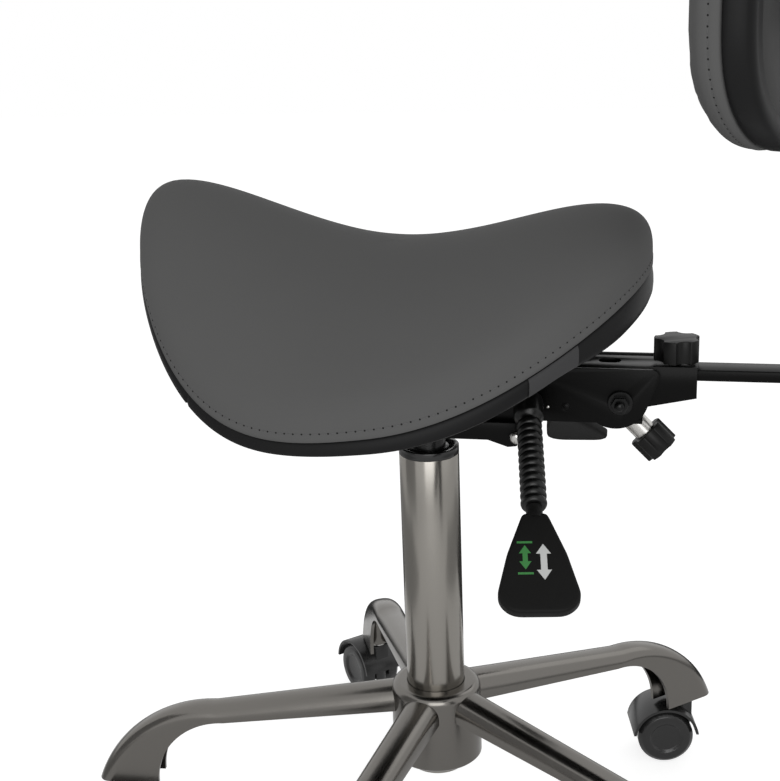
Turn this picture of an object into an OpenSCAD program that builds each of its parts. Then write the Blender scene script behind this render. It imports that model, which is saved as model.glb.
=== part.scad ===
// Saddle stool with a backrest. A chromed five-arm base on twin-wheel castors carries
// a gas lift; the steel mechanism on top of it holds the tilting saddle seat, the
// hinged bar of the backrest and three levers in ribbed rubber boots.
// Millimetres and degrees. The origin is on the floor on the column's axis,
// +X points to the backrest and +Z up.

/* [Column] */
// Height of the column tube's rim above the floor
column_top = 385; // [335:5:435]
// Outer diameter of the column tube
column_d = 50; // [46:1:54]
// Wall of the column tube
column_wall = 2; // [1.5:0.5:3]
// Height of the tube's lower end above the floor
column_bottom = 88; // [84:1:94]
// Diameter of the gas cylinder
cylinder_d = 28; // [26:1:30]
// How far the seat can be raised
lift_stroke = 180; // [120:5:185]
// Diameter of the piston rod
rod_d = 8; // [7:0.5:10]
// Length of the guide bush in the tube
bush_length = 78; // [60:2:90]
// Number of ribs in the guide bush's mouth
bush_ribs = 12; // [8:1:16]

/* [Base] */
// Number of arms
arms = 5; // [5:1:6]
// Direction of the first arm
first_arm = 42; // [0:1:71]
// Reach of an arm from the column's axis
arm_reach = 312; // [300:2:330]
// Width of an arm at the hub
arm_root_w = 34; // [30:1:38]
// Width of an arm at its tip
arm_tip_w = 27; // [24:1:30]
// Height of the arm's level stretch above the floor, where the bend starts
arm_top = 139; // [134:1:144]
// Height of the tip's lower edge above the floor
tip_bottom = 62; // [61:0.5:64]
// Radius of the bend's outside
bend_r = 119; // [114:1:122]
// Radius of the bend's inside
bend_inner_r = 64; // [60:1:66]
// Wall of the arm, which is open below
arm_wall = 3.5; // [3:0.5:4.5]
// Diameter of the hub
hub_d = 78; // [72:1:84]
// Height of the hub's top above the floor
hub_top = 168; // [164:1:176]
// Height of the hub's lower face above the floor
hub_bottom = 98; // [94:1:108]

/* [Castors] */
// Wheel diameter
wheel_d = 54; // [50:1:56]
// Width of one wheel
wheel_w = 13; // [11:0.5:14]
// Trail from the stem to the axle
castor_trail = 19; // [17:0.5:20]
// Diameter of the stem
stem_d = 11; // [10:0.5:12]
// Thickness of the hood between the wheels
web_w = 15; // [13:0.5:17]

/* [Seat] */
// Length of the seat
seat_length = 403; // [389:2:419]
// Width of the seat across its flaps
seat_width = 362; // [346:2:382]
// Middle of the seat, forward of the column
seat_ahead = 21.5; // [15.5:1:27.5]
// Height of the saddle's edge line over the column rim, at the middle
pan_rise = 127.5; // [124:0.5:140]
// Rise of the front end over the middle
front_rise = 67.3; // [55:0.3:76]
// Rise of the rear end over the middle
rear_rise = 26.7; // [18:0.3:36]
// Drop of the flaps below the ridge
flap_drop = 61.7; // [50:0.3:66.5]
// Thickness of the padding over the edge line
padding = 44.5; // [36:0.5:50]
// Height of the side band
band_height = 12.4; // [10:0.4:16]
// Thickness of the side band
band_t = 3.5; // [3:0.5:5]
// Thickness of the moulded pan under the padding
pan_t = 8; // [6:0.5:10]

/* [Mechanism] */
// Height of the channel's lower face over the column rim
channel_rise = 32.5; // [30:0.5:36]
// Height of the channel's walls
channel_h = 44; // [42:0.5:48]
// Width of the channel over its walls
channel_w = 50; // [48:0.5:54]
// Thickness of the channel's steel
channel_t = 3; // [2.5:0.5:3.5]
// Front end of the channel, forward of the column
channel_ahead = 108; // [104:1:116]
// Rear end of the channel, behind the column
channel_behind = 188; // [184:1:196]
// Width of the cast housing under the channel
housing_w = 62; // [58:1:68]
// Place of the backrest's pivot bolt, behind the column
pivot_x = 158; // [154:0.5:162]
// Height of the pivot bolt over the channel's lower face
pivot_rise = 17; // [15:0.5:19]
// Diameter of the pivot bolt
pivot_d = 10; // [9:0.5:12]
// Radius of the lobe below the pivot bolt
lobe_r = 26; // [24:0.5:27]
// Place of the seat's tilt pin, forward of the column
tilt_ahead = 82; // [78:1:88]
// Diameter of the tilt pin
tilt_pin_d = 10; // [8:0.5:11]

/* [Levers] */
// Length of a lever from its shaft to the end of the paddle
lever_length = 222; // [208:1:234]
// Slope of the height lever
lift_droop = 29.4; // [26:0.2:33]
// Slope of the two lock levers
lock_droop = 33; // [30:0.5:36]
// Backward turn of the levers
lever_skew = 9.5; // [8:0.5:11]
// Diameter of the lever's rod
lever_rod_d = 8; // [7:0.5:8]
// Outer diameter of the boot's ribs
rib_d = 19.5; // [18:0.5:22]
// Number of ribs on a boot
boot_ribs = 12; // [10:1:14]
// Width of a paddle
paddle_w = 57.5; // [50:0.5:62]
// Thickness of a paddle
paddle_t = 12; // [10:0.5:14]

/* [Backrest] */
// Width of the backrest
back_width = 360; // [330:5:380]
// Height of the backrest
back_height = 205; // [190:5:220]
// How far the backrest's ends wrap forward
back_wrap = 42; // [30:1:50]
// Thickness of its padding
back_padding = 38; // [32:1:44]
// Height of the backrest's middle over the saddle's edge line
back_rise = 223; // [211:1:235]
// Place of the upright, behind the column
upright_x = 336; // [330:1:345]
// Width of the flat bar
bar_w = 24; // [22:0.5:24]
// Thickness of the flat bar
bar_t = 9; // [8:0.5:9]
// Inner radius of the bar's bend
bar_bend_r = 38; // [30:1:44]

/* [Hidden] */
$fn = 64;

// Running clearance of a shaft in its hole, gap between seated pieces, and cut overrun
run_gap = 0.05;
seat_gap = 0.3;
over = 1;

// Column stack
bush_flange = 6;
bush_ring_wall = 3.5;
bush_sleeve_wall = 2.5;
bush_mouth = 9;
bush_rib_t = 1.6;
bush_rib_drop = 3;
tube_r = column_d / 2;
tube_bore_r = tube_r - column_wall;
cylinder_r = cylinder_d / 2;
cylinder_wall = 2.5;
cylinder_neck = 20;
cylinder_head = 10;
cylinder_above = 22.5;
cylinder_foot = 37;
cylinder_top = column_top + channel_rise + cylinder_above;
cylinder_bottom = column_bottom + cylinder_foot;
piston_h = 12;
piston_below = 45;
clip_t = 2.5;
floor_t = 4;
bearing_t = 4;
button_r = 4;
button_inside = 2;

// Base
bend_r_at = arm_reach - sqrt(bend_r * bend_r - pow(tip_bottom - arm_top + bend_r, 2));
bend_z = arm_top - bend_r;
bend_shift = 10;
inner_at = bend_r_at - bend_shift;
inner_top = tip_bottom + bend_inner_r;
arm_sink = 3;
arm_root_h = 21;
arm_into_hub = 6;
stem_at = (inner_at + bend_inner_r + arm_reach) / 2;
socket_wall = 5;
socket_h = 29;
stem_hole = 25;
castor_turns = [150, 20, 95, 330, 20];

// Castor
wheel_r = wheel_d / 2;
axle_r = 3.5;
tread_t = 2;
hood_gap = 2.5;
hood_t = 2.5;
hood_r = wheel_r + hood_gap;
stem_flange_t = 1.6;
wheel_gap = 1;
stem_boss_r = (web_w + wheel_gap) / 2;
stem_into_hood = 26;
hub_share = 0.62;
boss_deep = 20;
boss_lip = 8;
guard_lip = 4;
guard_over = 1;

// Seat surface
pan_z0 = column_top + pan_rise;
front_run = 0.645 * seat_length;
rear_run = 0.468 * seat_length;
dip_back = 12.4;
dip_ahead = seat_ahead - dip_back;
front_fade_share = 1.169;
rear_fade_share = 0.516;
drop_taper_share = -0.247;
flap_power = 1.836;
front_round_share = 0.947;
rear_round_share = 0.933;
front_widen_share = -0.049;
crown_power = 3.239;
crown_edge_power = 3.805;
padding_slope_share = 0.133;
padding_ends_share = 0.27;
top_ring_shares = [0.16, 0.31, 0.45, 0.58, 0.7, 0.8, 0.875, 0.93, 0.965, 0.988, 1];
floor_ring_shares = [0.92, 0.75, 0.55, 0.37, 0.2];
round_steps = 64;
pad_floor = 4;
pad_inset = band_t + 1;
band_bow = 1.2;
tag_t = 0.8;
tag_turn = 310.25;
tag_sweep = 11;

// Mechanism
channel_z = column_top + channel_rise;
channel_top = channel_z + channel_h;
pivot_z = channel_z + pivot_rise;
wall_in = channel_w / 2 - channel_t;
channel_nose = 12;
lobe_ahead = 4;
lobe_rise = 21.5;
lobe_x = pivot_x - lobe_ahead;
lobe_z = channel_z + lobe_rise;
web_behind = 17;
web_rear = pivot_x + web_behind;
shaft_in = 6;
shaft_rise = 29.5;
shaft_y = wall_in - shaft_in;
shaft_z = channel_z + shaft_rise;
shaft_r = lever_rod_d / 2;
housing_drop = 21.5;
housing_shelf = 5.4;
keel_rear = 78;
keel_step = 70;
keel_slope = 54;
keel_chamfer = 1;
socket_r = 22;
socket_neck = 1;
socket_below_top = 4;
bracket_t = 4;
bracket_rise = 23;
bracket_side = 14;
bracket_edge = 22;
bracket_front = 24;
ear_length = 70;
tilt_pin_rise = 32;
tilt_pin_z = channel_z + tilt_pin_rise;
pin_head_t = 3;
bracket_z = channel_top + bracket_rise;
seat_screw_xs = [-84, 66];
seat_screw_y = 48;
spacer_r = 9;
screw_r = 4;
screw_cover = 2.5;
screw_head_r = 7;
screw_head_h = 5;
carrier_t = 2.5;
carrier_play = 1;
carrier_ahead = 54;
carrier_behind = 58;
carrier_skirt = 25;
carrier_w = bar_w + 2 * carrier_t + carrier_play;
carrier_front = pivot_x - carrier_ahead;
carrier_rear = pivot_x + carrier_behind;
slot_ahead = 10;
slot_half = 3;
slot_r = 6;
clamp_inset = 16;
bar_top = channel_top - carrier_t - seat_gap;
sleeve_r = 9;
sleeve_below = 35;
tension_screw_r = 3;
tension_lean = 44.5;
tension_off = pivot_d / 2 + tension_screw_r + 2 * seat_gap;
sleeve_from = 6.5;
screw_end = 5;
knob_r = 15;
knob_h = 20;
clamp_knob_r = 18;
clamp_knob_h = 18;
clamp_lift = 2;
washer_over = 1;
washer_t = 2;
nut_r = 9;
nut_h = 6;
dome_r = 5.8;

// Levers
lever_slot_w = 13;
lever_slot_h = 24;
slot_drop = 3;
collar_r = 13;
collar_from = 20;
collar_length = 16;
collar_round = 2;
collar_taper = 3;
boot_end = 127;
rib_depth = 1.6;
rod_into_paddle = 30;
paddle_neck_r = 6.1;
paddle_neck = 8;
paddle_top_w = 19.4;
paddle_top_r = 4;
paddle_mid_share = 0.43;
paddle_mid_w = 43;
paddle_corner_r = 16;
paddle_round = 2;
lock_roll = -5;
lift_shaft_x = 84;
lift_shaft_front = 8;
lift_shaft_rear = 16;
lift_plate_front = 55;
lift_plate_rear = 12;
recline_shaft_x = 77.5;
tilt_shaft_x = -35.5;
lock_shaft_half = 22;
lock_plate_front = 18;
tilt_plate_rear = 10;
recline_plate_rear = 14;
plate_reach = 8;
nose_r = 3;

// Backrest
back_ahead = 47;
back_x = upright_x - back_ahead;
back_z = pan_z0 + back_rise;
back_round_share = 0.72;
back_crown_power = 3;
back_ring_shares = [0.3, 0.6, 0.85, 1];
slider_wall = 5;
slider_h = 60;
clamp_pad = 3;
knob_gap = 2;
upright_above = 85;
bar_inset = 3;
cap_over = 1;
cap_t = 5;
hinge_r = 4;
hinge_boss = 5;
hinge_ahead = 18;
hinge_pin_over = 8;
back_hinge_x = upright_x - hinge_ahead;
back_plate_t = 4;
back_plate_w = 120;
back_plate_h = 84;
back_ear_h = 40;
back_steps = 56;

function spow(value, power) = sign(value) * pow(abs(value), power);

// Saddle surface: height of the padding's edge line at a place
function end_rise(x) = let (d = x + dip_ahead) d < 0
    ? front_rise * (1 - cos(180 * min(-d / front_run, 1))) / 2
    : rear_rise * (1 - cos(180 * min(d / rear_run, 1))) / 2;
function pan_z(x, y) = let (side = abs(y) / (seat_width / 2),
        along = (x + seat_ahead) / (seat_length / 2),
        fade = x < -dip_ahead ? front_fade_share : rear_fade_share)
    pan_z0 + end_rise(x) * (1 - fade * pow(min(side, 1), 2))
        - flap_drop * (1 + drop_taper_share * along) * pow(side, flap_power);
function pan_along(reach, turn) = let (c = cos(turn))
    spow(c, c > 0 ? rear_round_share : front_round_share) * reach;
function pan_across(reach, turn) = let (c = cos(turn))
    spow(sin(turn), c > 0 ? rear_round_share : front_round_share) * reach
        * (1 + front_widen_share * pan_along(reach, turn));
// A point at a share of the outline's reach, moved in by inset and down by drop
function pan_point(reach, turn, inset, drop) =
    let (x = (seat_length / 2 - inset) * pan_along(reach, turn) - seat_ahead,
        y = (seat_width / 2 - inset) * pan_across(reach, turn))
    [x, y, pan_z(x, y) - drop];
function crown(reach, power, edge_power) = pow(max(1 - pow(reach, power), 0), 1 / edge_power);
function crown_point(reach, turn) = let (p = pan_point(reach, turn, 0, 0),
        along = (p[0] + seat_ahead) / (seat_length / 2),
        thick = padding * (1 + padding_slope_share * along + padding_ends_share * along * along))
    [p[0], p[1], p[2] + thick * crown(reach, crown_power, crown_edge_power)];

// A closed skin over rings of points, from a first centre point to a last one. Past the ring
// counted by turned, its facets are split the other way, so that two skins can lie face to face.
module skin(first, rings, last, turned) {
    n = len(rings[0]);
    m = len(rings);
    points = concat([first], [for (ring = rings) each ring], [last]);
    function at(j, i) = 1 + j * n + i % n;
    faces = concat(
        [for (i = [0 : n - 1]) [0, at(0, i), at(0, i + 1)]],
        [for (j = [0 : m - 2], i = [0 : n - 1])
            j < turned ? [at(j, i), at(j + 1, i), at(j, i + 1)] : [at(j, i), at(j + 1, i), at(j + 1, i + 1)]],
        [for (j = [0 : m - 2], i = [0 : n - 1])
            j < turned ? [at(j, i + 1), at(j + 1, i), at(j + 1, i + 1)] : [at(j, i), at(j + 1, i + 1), at(j, i + 1)]],
        [for (i = [0 : n - 1]) [1 + n * m, at(m - 1, i + 1), at(m - 1, i)]]);
    polyhedron(points, faces, convexity = 6);
}

// A closed band over rings of points, the last ring joined to the first
module hoop(rings) {
    n = len(rings[0]);
    m = len(rings);
    points = [for (ring = rings) each ring];
    faces = concat(
        [for (j = [0 : m - 1], i = [0 : n - 1]) [j * n + i, ((j + 1) % m) * n + i, j * n + (i + 1) % n]],
        [for (j = [0 : m - 1], i = [0 : n - 1])
            [j * n + (i + 1) % n, ((j + 1) % m) * n + i, ((j + 1) % m) * n + (i + 1) % n]]);
    polyhedron(points, faces, convexity = 8);
}

// A block given by its two opposite corners
module span(low, high) {
    translate(low) cube(high - low);
}

// A bar along Y, centred on the plane of symmetry
module along_y(x, z, r, length) {
    translate([x, length / 2, z]) rotate([90, 0, 0]) cylinder(h = length, r = r);
}

module star_base() {
    color([0.62, 0.6, 0.57]) difference() {
        union() {
            translate([0, 0, hub_bottom]) cylinder(h = hub_top - hub_bottom, d = hub_d);
            for (k = [0 : arms - 1]) rotate(first_arm + k * 360 / arms) arm();
        }
        translate([0, 0, hub_bottom - over])
            cylinder(h = hub_top - hub_bottom + 2 * over, r = tube_r + run_gap);
    }
}

// One arm along +X: a channel open below, bent down to the castor's socket
module arm() {
    hub_in = hub_d / 2 - arm_into_hub;
    difference() {
        intersection() {
            rotate([90, 0, 0]) linear_extrude(height = arm_root_w, center = true) arm_side(hub_in);
            arm_plan(0, hub_in);
        }
        intersection() {
            rotate([90, 0, 0]) linear_extrude(height = arm_root_w, center = true) arm_hollow();
            arm_plan(arm_wall, hub_d / 2);
        }
    }
    difference() {
        translate([stem_at, 0, tip_bottom]) cylinder(h = socket_h, r = stem_d / 2 + socket_wall);
        translate([stem_at, 0, tip_bottom - over]) cylinder(h = stem_hole + over, r = stem_d / 2 + run_gap);
    }
}

// Side outline of an arm
module arm_side(from) {
    difference() {
        union() {
            polygon([[from, hub_top - arm_sink], [bend_r_at, arm_top], [bend_r_at, inner_top],
                [inner_at, inner_top], [from, hub_top - arm_sink - arm_root_h]]);
            intersection() {
                translate([bend_r_at, bend_z]) circle(r = bend_r, $fn = 128);
                translate([inner_at, tip_bottom]) square([arm_reach, bend_r]);
            }
        }
        translate([inner_at, tip_bottom]) circle(r = bend_inner_r, $fn = 96);
    }
}

// The hollow under an arm's top wall
module arm_hollow() {
    polygon([[hub_d / 2, hub_top - arm_sink - arm_wall], [bend_r_at, arm_top - arm_wall],
        [bend_r_at, 0], [hub_d / 2, 0]]);
    intersection() {
        translate([bend_r_at, bend_z]) circle(r = bend_r - arm_wall, $fn = 128);
        translate([bend_r_at - over, 0]) square([arm_reach, arm_top]);
    }
}

// Plan of an arm, narrower and rounded at the tip
module arm_plan(inset, from) {
    tip_r = arm_tip_w / 2 - inset;
    tip_x = arm_reach - arm_tip_w / 2;
    linear_extrude(height = hub_top) union() {
        polygon([[from, arm_root_w / 2 - inset], [tip_x, tip_r], [tip_x, -tip_r], [from, inset - arm_root_w / 2]]);
        translate([tip_x, 0]) circle(r = tip_r);
    }
}

module column_tube() {
    color([0.5, 0.48, 0.45]) difference() {
        translate([0, 0, column_bottom]) cylinder(h = column_top - bush_flange - column_bottom, r = tube_r, $fn = 96);
        translate([0, 0, column_bottom + floor_t]) cylinder(h = column_top, r = tube_bore_r, $fn = 96);
        translate([0, 0, column_bottom - over]) cylinder(h = column_top, r = rod_d / 2 + run_gap);
    }
}

// Guide bush: a flange on the tube's rim, a sleeve round the cylinder and ribs between
module guide_bush() {
    mouth = column_top - bush_mouth;
    sleeve_r = cylinder_r + run_gap + bush_sleeve_wall;
    color([0.08, 0.08, 0.08]) {
        difference() {
            union() {
                translate([0, 0, column_top - bush_flange]) cylinder(h = bush_flange, r = tube_r);
                translate([0, 0, column_top - bush_length]) cylinder(h = bush_length, r = tube_bore_r - run_gap);
            }
            translate([0, 0, mouth]) cylinder(h = bush_mouth + over, r = tube_bore_r - bush_ring_wall / 2);
            translate([0, 0, mouth - bush_length]) cylinder(h = 2 * bush_length, r = cylinder_r + run_gap);
        }
        difference() {
            union() {
                translate([0, 0, mouth - over]) cylinder(h = bush_mouth, r = sleeve_r);
                for (k = [0 : bush_ribs - 1]) rotate(k * 360 / bush_ribs)
                    span([cylinder_r + over, -bush_rib_t / 2, mouth - over],
                        [tube_bore_r - bush_ring_wall / 4, bush_rib_t / 2, column_top - bush_rib_drop]);
            }
            translate([0, 0, mouth - 2 * over]) cylinder(h = 2 * bush_mouth, r = cylinder_r + run_gap);
        }
    }
}

module thrust_bearing() {
    low = column_bottom + floor_t + seat_gap;
    color([0.55, 0.55, 0.53]) translate([0, 0, low]) difference() {
        cylinder(h = bearing_t, r = tube_bore_r - seat_gap);
        translate([0, 0, -over]) cylinder(h = bearing_t + 2 * over, r = rod_d / 2 + run_gap);
    }
}

// Piston rod: it is clipped under the tube's floor and ends in the piston
module piston_rod() {
    top = cylinder_top - piston_below;
    shoulder = column_bottom + floor_t + 2 * seat_gap + bearing_t;
    color([0.75, 0.75, 0.75]) {
        translate([0, 0, column_bottom - 2 * clip_t]) cylinder(h = top - column_bottom, r = rod_d / 2);
        translate([0, 0, shoulder]) cylinder(h = bearing_t, r = rod_d);
        translate([0, 0, top - piston_h]) cylinder(h = piston_h, r = cylinder_r - cylinder_wall - seat_gap);
    }
}

module rod_clip() {
    color([0.6, 0.6, 0.58]) translate([0, 0, column_bottom - clip_t - seat_gap]) difference() {
        cylinder(h = clip_t, r = rod_d);
        translate([0, 0, -over]) cylinder(h = clip_t + 2 * over, r = rod_d / 2);
        span([0, -rod_d / 4, -over], [2 * rod_d, rod_d / 4, clip_t + over]);
    }
}

module gas_cylinder() {
    color([0.1, 0.1, 0.1]) difference() {
        translate([0, 0, cylinder_bottom]) cylinder(h = cylinder_top - cylinder_bottom, r = cylinder_r);
        translate([0, 0, cylinder_bottom + cylinder_neck])
            cylinder(h = cylinder_top - cylinder_bottom - cylinder_neck - cylinder_head, r = cylinder_r - cylinder_wall);
        translate([0, 0, cylinder_bottom - over]) cylinder(h = cylinder_neck + 2 * over, r = rod_d / 2 + run_gap);
        translate([0, 0, cylinder_top - cylinder_head - over])
            cylinder(h = cylinder_head + 2 * over, r = button_r + run_gap);
    }
}

module release_button() {
    low = cylinder_top - cylinder_head - button_inside;
    color([0.7, 0.7, 0.68]) translate([0, 0, low]) cylinder(h = shaft_z - shaft_r - seat_gap - low, r = button_r);
}

// Cast housing: the lift's socket, with a keel under the channel
module mech_housing() {
    low = channel_z - housing_drop;
    color([0.07, 0.07, 0.065]) difference() {
        union() {
            rotate([90, 0, 0]) linear_extrude(height = housing_w, center = true) polygon([
                [-channel_ahead / 2, channel_z], [-channel_ahead / 2, channel_z - housing_drop / 2],
                [-socket_r, low + housing_shelf], [keel_slope, low + housing_shelf],
                [keel_step, low], [keel_rear, low + keel_chamfer], [keel_rear, channel_z]]);
            translate([0, 0, channel_z]) cylinder(h = cylinder_above - socket_below_top, r = socket_r - socket_neck);
        }
        translate([0, 0, low - over]) cylinder(h = 2 * channel_h, r = cylinder_r + run_gap);
    }
}

// U channel of pressed steel, open above, with lobes round the pivot bolt
module mech_channel() {
    half = channel_w / 2;
    color([0.07, 0.07, 0.065]) difference() {
        union() {
            for (side = [-1, 1]) translate([0, side * (half - channel_t / 2), 0])
                rotate([90, 0, 0]) linear_extrude(height = channel_t, center = true) channel_side();
            span([-channel_ahead, -half, channel_z], [web_rear, half, channel_z + channel_t]);
            for (x = [tilt_plate_rear, -lock_plate_front]) bearing_plate(tilt_shaft_x + x, 1);
            for (x = [recline_plate_rear, -lock_plate_front]) bearing_plate(recline_shaft_x + x, 1);
            for (x = [lift_plate_rear, -lift_plate_front]) bearing_plate(lift_shaft_x + x, -1);
        }
        translate([0, 0, channel_z - over]) cylinder(h = channel_t + 2 * over, r = socket_r - socket_neck + run_gap);
        lever_slot(lift_shaft_x, -1);
        for (x = [recline_shaft_x, tilt_shaft_x]) lever_slot(x, 1);
        along_y(pivot_x, pivot_z, pivot_d / 2 + run_gap, 2 * channel_w);
        along_y(-tilt_ahead, tilt_pin_z, tilt_pin_d / 2 + run_gap, 2 * channel_w);
        tension_place() translate([0, 0, -sleeve_below]) cylinder(h = sleeve_below, r = sleeve_r);
    }
}

// Side of the channel: a long plate with a round lobe below the pivot
module channel_side() {
    hull() {
        translate([-channel_ahead + channel_nose, channel_z + channel_nose]) circle(r = channel_nose, $fn = 32);
        translate([-channel_ahead, channel_top - channel_nose]) square([channel_nose, channel_nose]);
        translate([lobe_x - channel_nose, channel_z]) square([channel_nose, channel_h]);
    }
    intersection() {
        hull() {
            translate([lobe_x, lobe_z]) circle(r = lobe_r, $fn = 96);
            translate([lobe_x - channel_nose, channel_top - channel_nose]) square([channel_nose, channel_nose]);
            translate([channel_behind - channel_nose / 2, channel_top - channel_nose / 2])
                circle(r = channel_nose / 2, $fn = 32);
        }
        translate([lobe_x - 2 * lobe_r, channel_top - 2 * channel_h]) square([4 * lobe_r, 2 * channel_h]);
    }
}

// A plate across one half of the channel that carries a lever's shaft
module bearing_plate(x, side) {
    outer = wall_in + channel_t / 2;
    inner = shaft_y - plate_reach;
    difference() {
        translate([x, side > 0 ? inner : -outer, channel_z])
            cube([channel_t, outer - inner, shaft_rise + plate_reach]);
        translate([x - over, side * shaft_y, shaft_z]) rotate([0, 90, 0])
            cylinder(h = channel_t + 2 * over, r = shaft_r + run_gap);
    }
}

module lever_slot(x, side) {
    translate([x, side * wall_in, shaft_z - slot_drop])
        cube([lever_slot_w, 4 * channel_t, lever_slot_h], center = true);
}

// Everything on a lever is drawn along +X from its shaft and turned into place here
module lever_place(x, side, droop) {
    translate([x, side * shaft_y, shaft_z]) rotate(side * (90 - lever_skew)) rotate([0, droop, 0]) children();
}

// A lever's shaft along the mechanism, its finger, and the rod out to the paddle
module lever_rod(x, side, droop, front, rear, finger_x, reach) {
    color([0.55, 0.55, 0.53]) {
        translate([front, side * shaft_y, shaft_z]) rotate([0, 90, 0]) cylinder(h = rear - front, r = shaft_r);
        lever_place(x, side, droop) rotate([0, 90, 0])
            cylinder(h = boot_end + rod_into_paddle, r = shaft_r - run_gap);
        translate([finger_x - nose_r, side > 0 ? shaft_y - reach : -shaft_y, shaft_z - shaft_r])
            cube([2 * nose_r, reach, 2 * nose_r]);
        translate([finger_x - nose_r, side * (shaft_y - reach), shaft_z - shaft_r + nose_r])
            rotate([0, 90, 0]) cylinder(h = 2 * nose_r, r = nose_r);
    }
}

// Ribbed rubber boot: a plain collar at the channel, then the ribs
module lever_boot(x, side, droop) {
    pitch = (boot_end - collar_from - collar_length) / boot_ribs;
    first = collar_from + collar_length;
    ridge = rib_d / 2;
    valley = ridge - rib_depth;
    bore = shaft_r;
    color([0.09, 0.09, 0.09]) lever_place(x, side, droop) rotate([0, 90, 0]) rotate_extrude($fn = 32) polygon(concat(
        [[bore, collar_from], [collar_r - collar_round, collar_from], [collar_r, collar_from + collar_round],
            [collar_r, first - collar_taper], [ridge, first]],
        [for (k = [0 : boot_ribs - 1], s = [0 : 3]) let (z = first + k * pitch)
            [[valley, z + pitch * 0.12], [ridge, z + pitch * 0.36],
                [ridge, z + pitch * 0.76], [valley, z + pitch]][s]],
        [[bore, boot_end]]));
}

// Paddle: a flat pear shape with a round neck, bored for the rod
module lever_paddle(x, side, droop, roll) {
    from = boot_end + seat_gap;
    top = from + paddle_neck;
    color([0.12, 0.12, 0.12]) lever_place(x, side, droop) rotate([roll, 0, 0]) difference() {
        union() {
            hull() for (layer = [[1, -0.4], [0, -0.22], [0, 0.2], [1, 0.4]], y = [-1, 1]) {
                trim = layer[0] * paddle_round;
                translate([lever_length - paddle_corner_r, y * (paddle_w / 2 - paddle_corner_r), layer[1] * paddle_t])
                    cylinder(h = 0.01 * paddle_t, r = paddle_corner_r - trim, $fn = 32);
                translate([top + paddle_top_r, y * (paddle_top_w / 2 - paddle_top_r), layer[1] * paddle_t])
                    cylinder(h = 0.01 * paddle_t, r = paddle_top_r - trim, $fn = 32);
                translate([top + paddle_mid_share * (lever_length - top), y * (paddle_mid_w / 2 - paddle_top_r),
                    layer[1] * paddle_t]) cylinder(h = 0.01 * paddle_t, r = paddle_top_r - trim, $fn = 32);
            }
            translate([from, 0, 0]) rotate([0, 90, 0]) cylinder(h = paddle_neck + paddle_top_r, r = paddle_neck_r);
        }
        translate([from - over, 0, 0]) rotate([0, 90, 0]) cylinder(h = rod_into_paddle + over, r = shaft_r);
    }
}

module lift_rod() {
    lever_rod(lift_shaft_x, -1, lift_droop, -lift_shaft_front, lift_shaft_x + lift_shaft_rear, 0, shaft_y);
}
module lift_boot() {
    lever_boot(lift_shaft_x, -1, lift_droop);
}
module lift_paddle() {
    lever_paddle(lift_shaft_x, -1, lift_droop, 0);
}
module tilt_rod() {
    lever_rod(tilt_shaft_x, 1, lock_droop, tilt_shaft_x - lock_shaft_half, tilt_shaft_x + lock_shaft_half,
        tilt_shaft_x, shaft_y / 2);
}
module tilt_boot() {
    lever_boot(tilt_shaft_x, 1, lock_droop);
}
module tilt_paddle() {
    lever_paddle(tilt_shaft_x, 1, lock_droop, lock_roll);
}
module recline_rod() {
    lever_rod(recline_shaft_x, 1, lock_droop, recline_shaft_x - lock_shaft_half, recline_shaft_x + lock_shaft_half,
        recline_shaft_x, shaft_y / 2);
}
module recline_boot() {
    lever_boot(recline_shaft_x, 1, lock_droop);
}
module recline_paddle() {
    lever_paddle(recline_shaft_x, 1, lock_droop, lock_roll);
}

// Steel sleeve of the tension screw, set at a slant in the channel's web
module tension_sleeve() {
    color([0.5, 0.49, 0.46]) tension_place() difference() {
        translate([0, 0, -sleeve_below]) cylinder(h = sleeve_below - sleeve_from, r = sleeve_r);
        translate([0, 0, -sleeve_below - over]) cylinder(h = sleeve_below + 2 * over, r = tension_screw_r + run_gap);
    }
}

// The tension screw's axis: it passes ahead of the pivot bolt, forward and up
module tension_place() {
    translate([pivot_x, 0, pivot_z]) rotate([0, -tension_lean, 0]) translate([-tension_off, 0, 0]) children();
}

module tension_knob() {
    color([0.05, 0.05, 0.05]) tension_place() {
        translate([0, 0, -sleeve_below - seat_gap - knob_h]) star_knob(knob_r, knob_h);
        translate([0, 0, -sleeve_below - knob_h / 2])
            cylinder(h = sleeve_below + knob_h / 2 + screw_end, r = tension_screw_r);
    }
}

// A round knob with five finger hollows
module star_knob(r, h) {
    difference() {
        cylinder(h = h, r = r);
        for (k = [0 : 4]) rotate(k * 72) translate([r * 1.25, 0, -over]) cylinder(h = h + 2 * over, r = r / 2.2);
    }
}

module tilt_pin() {
    head_at = channel_w / 2 + bracket_t + 2 * seat_gap;
    color([0.6, 0.6, 0.58]) {
        along_y(-tilt_ahead, tilt_pin_z, tilt_pin_d / 2, 2 * (head_at + pin_head_t));
        for (side = [-1, 1]) translate([0, side * (head_at + pin_head_t / 2), 0])
            along_y(-tilt_ahead, tilt_pin_z, tilt_pin_d / 2 + pin_head_t, pin_head_t);
    }
}

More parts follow.
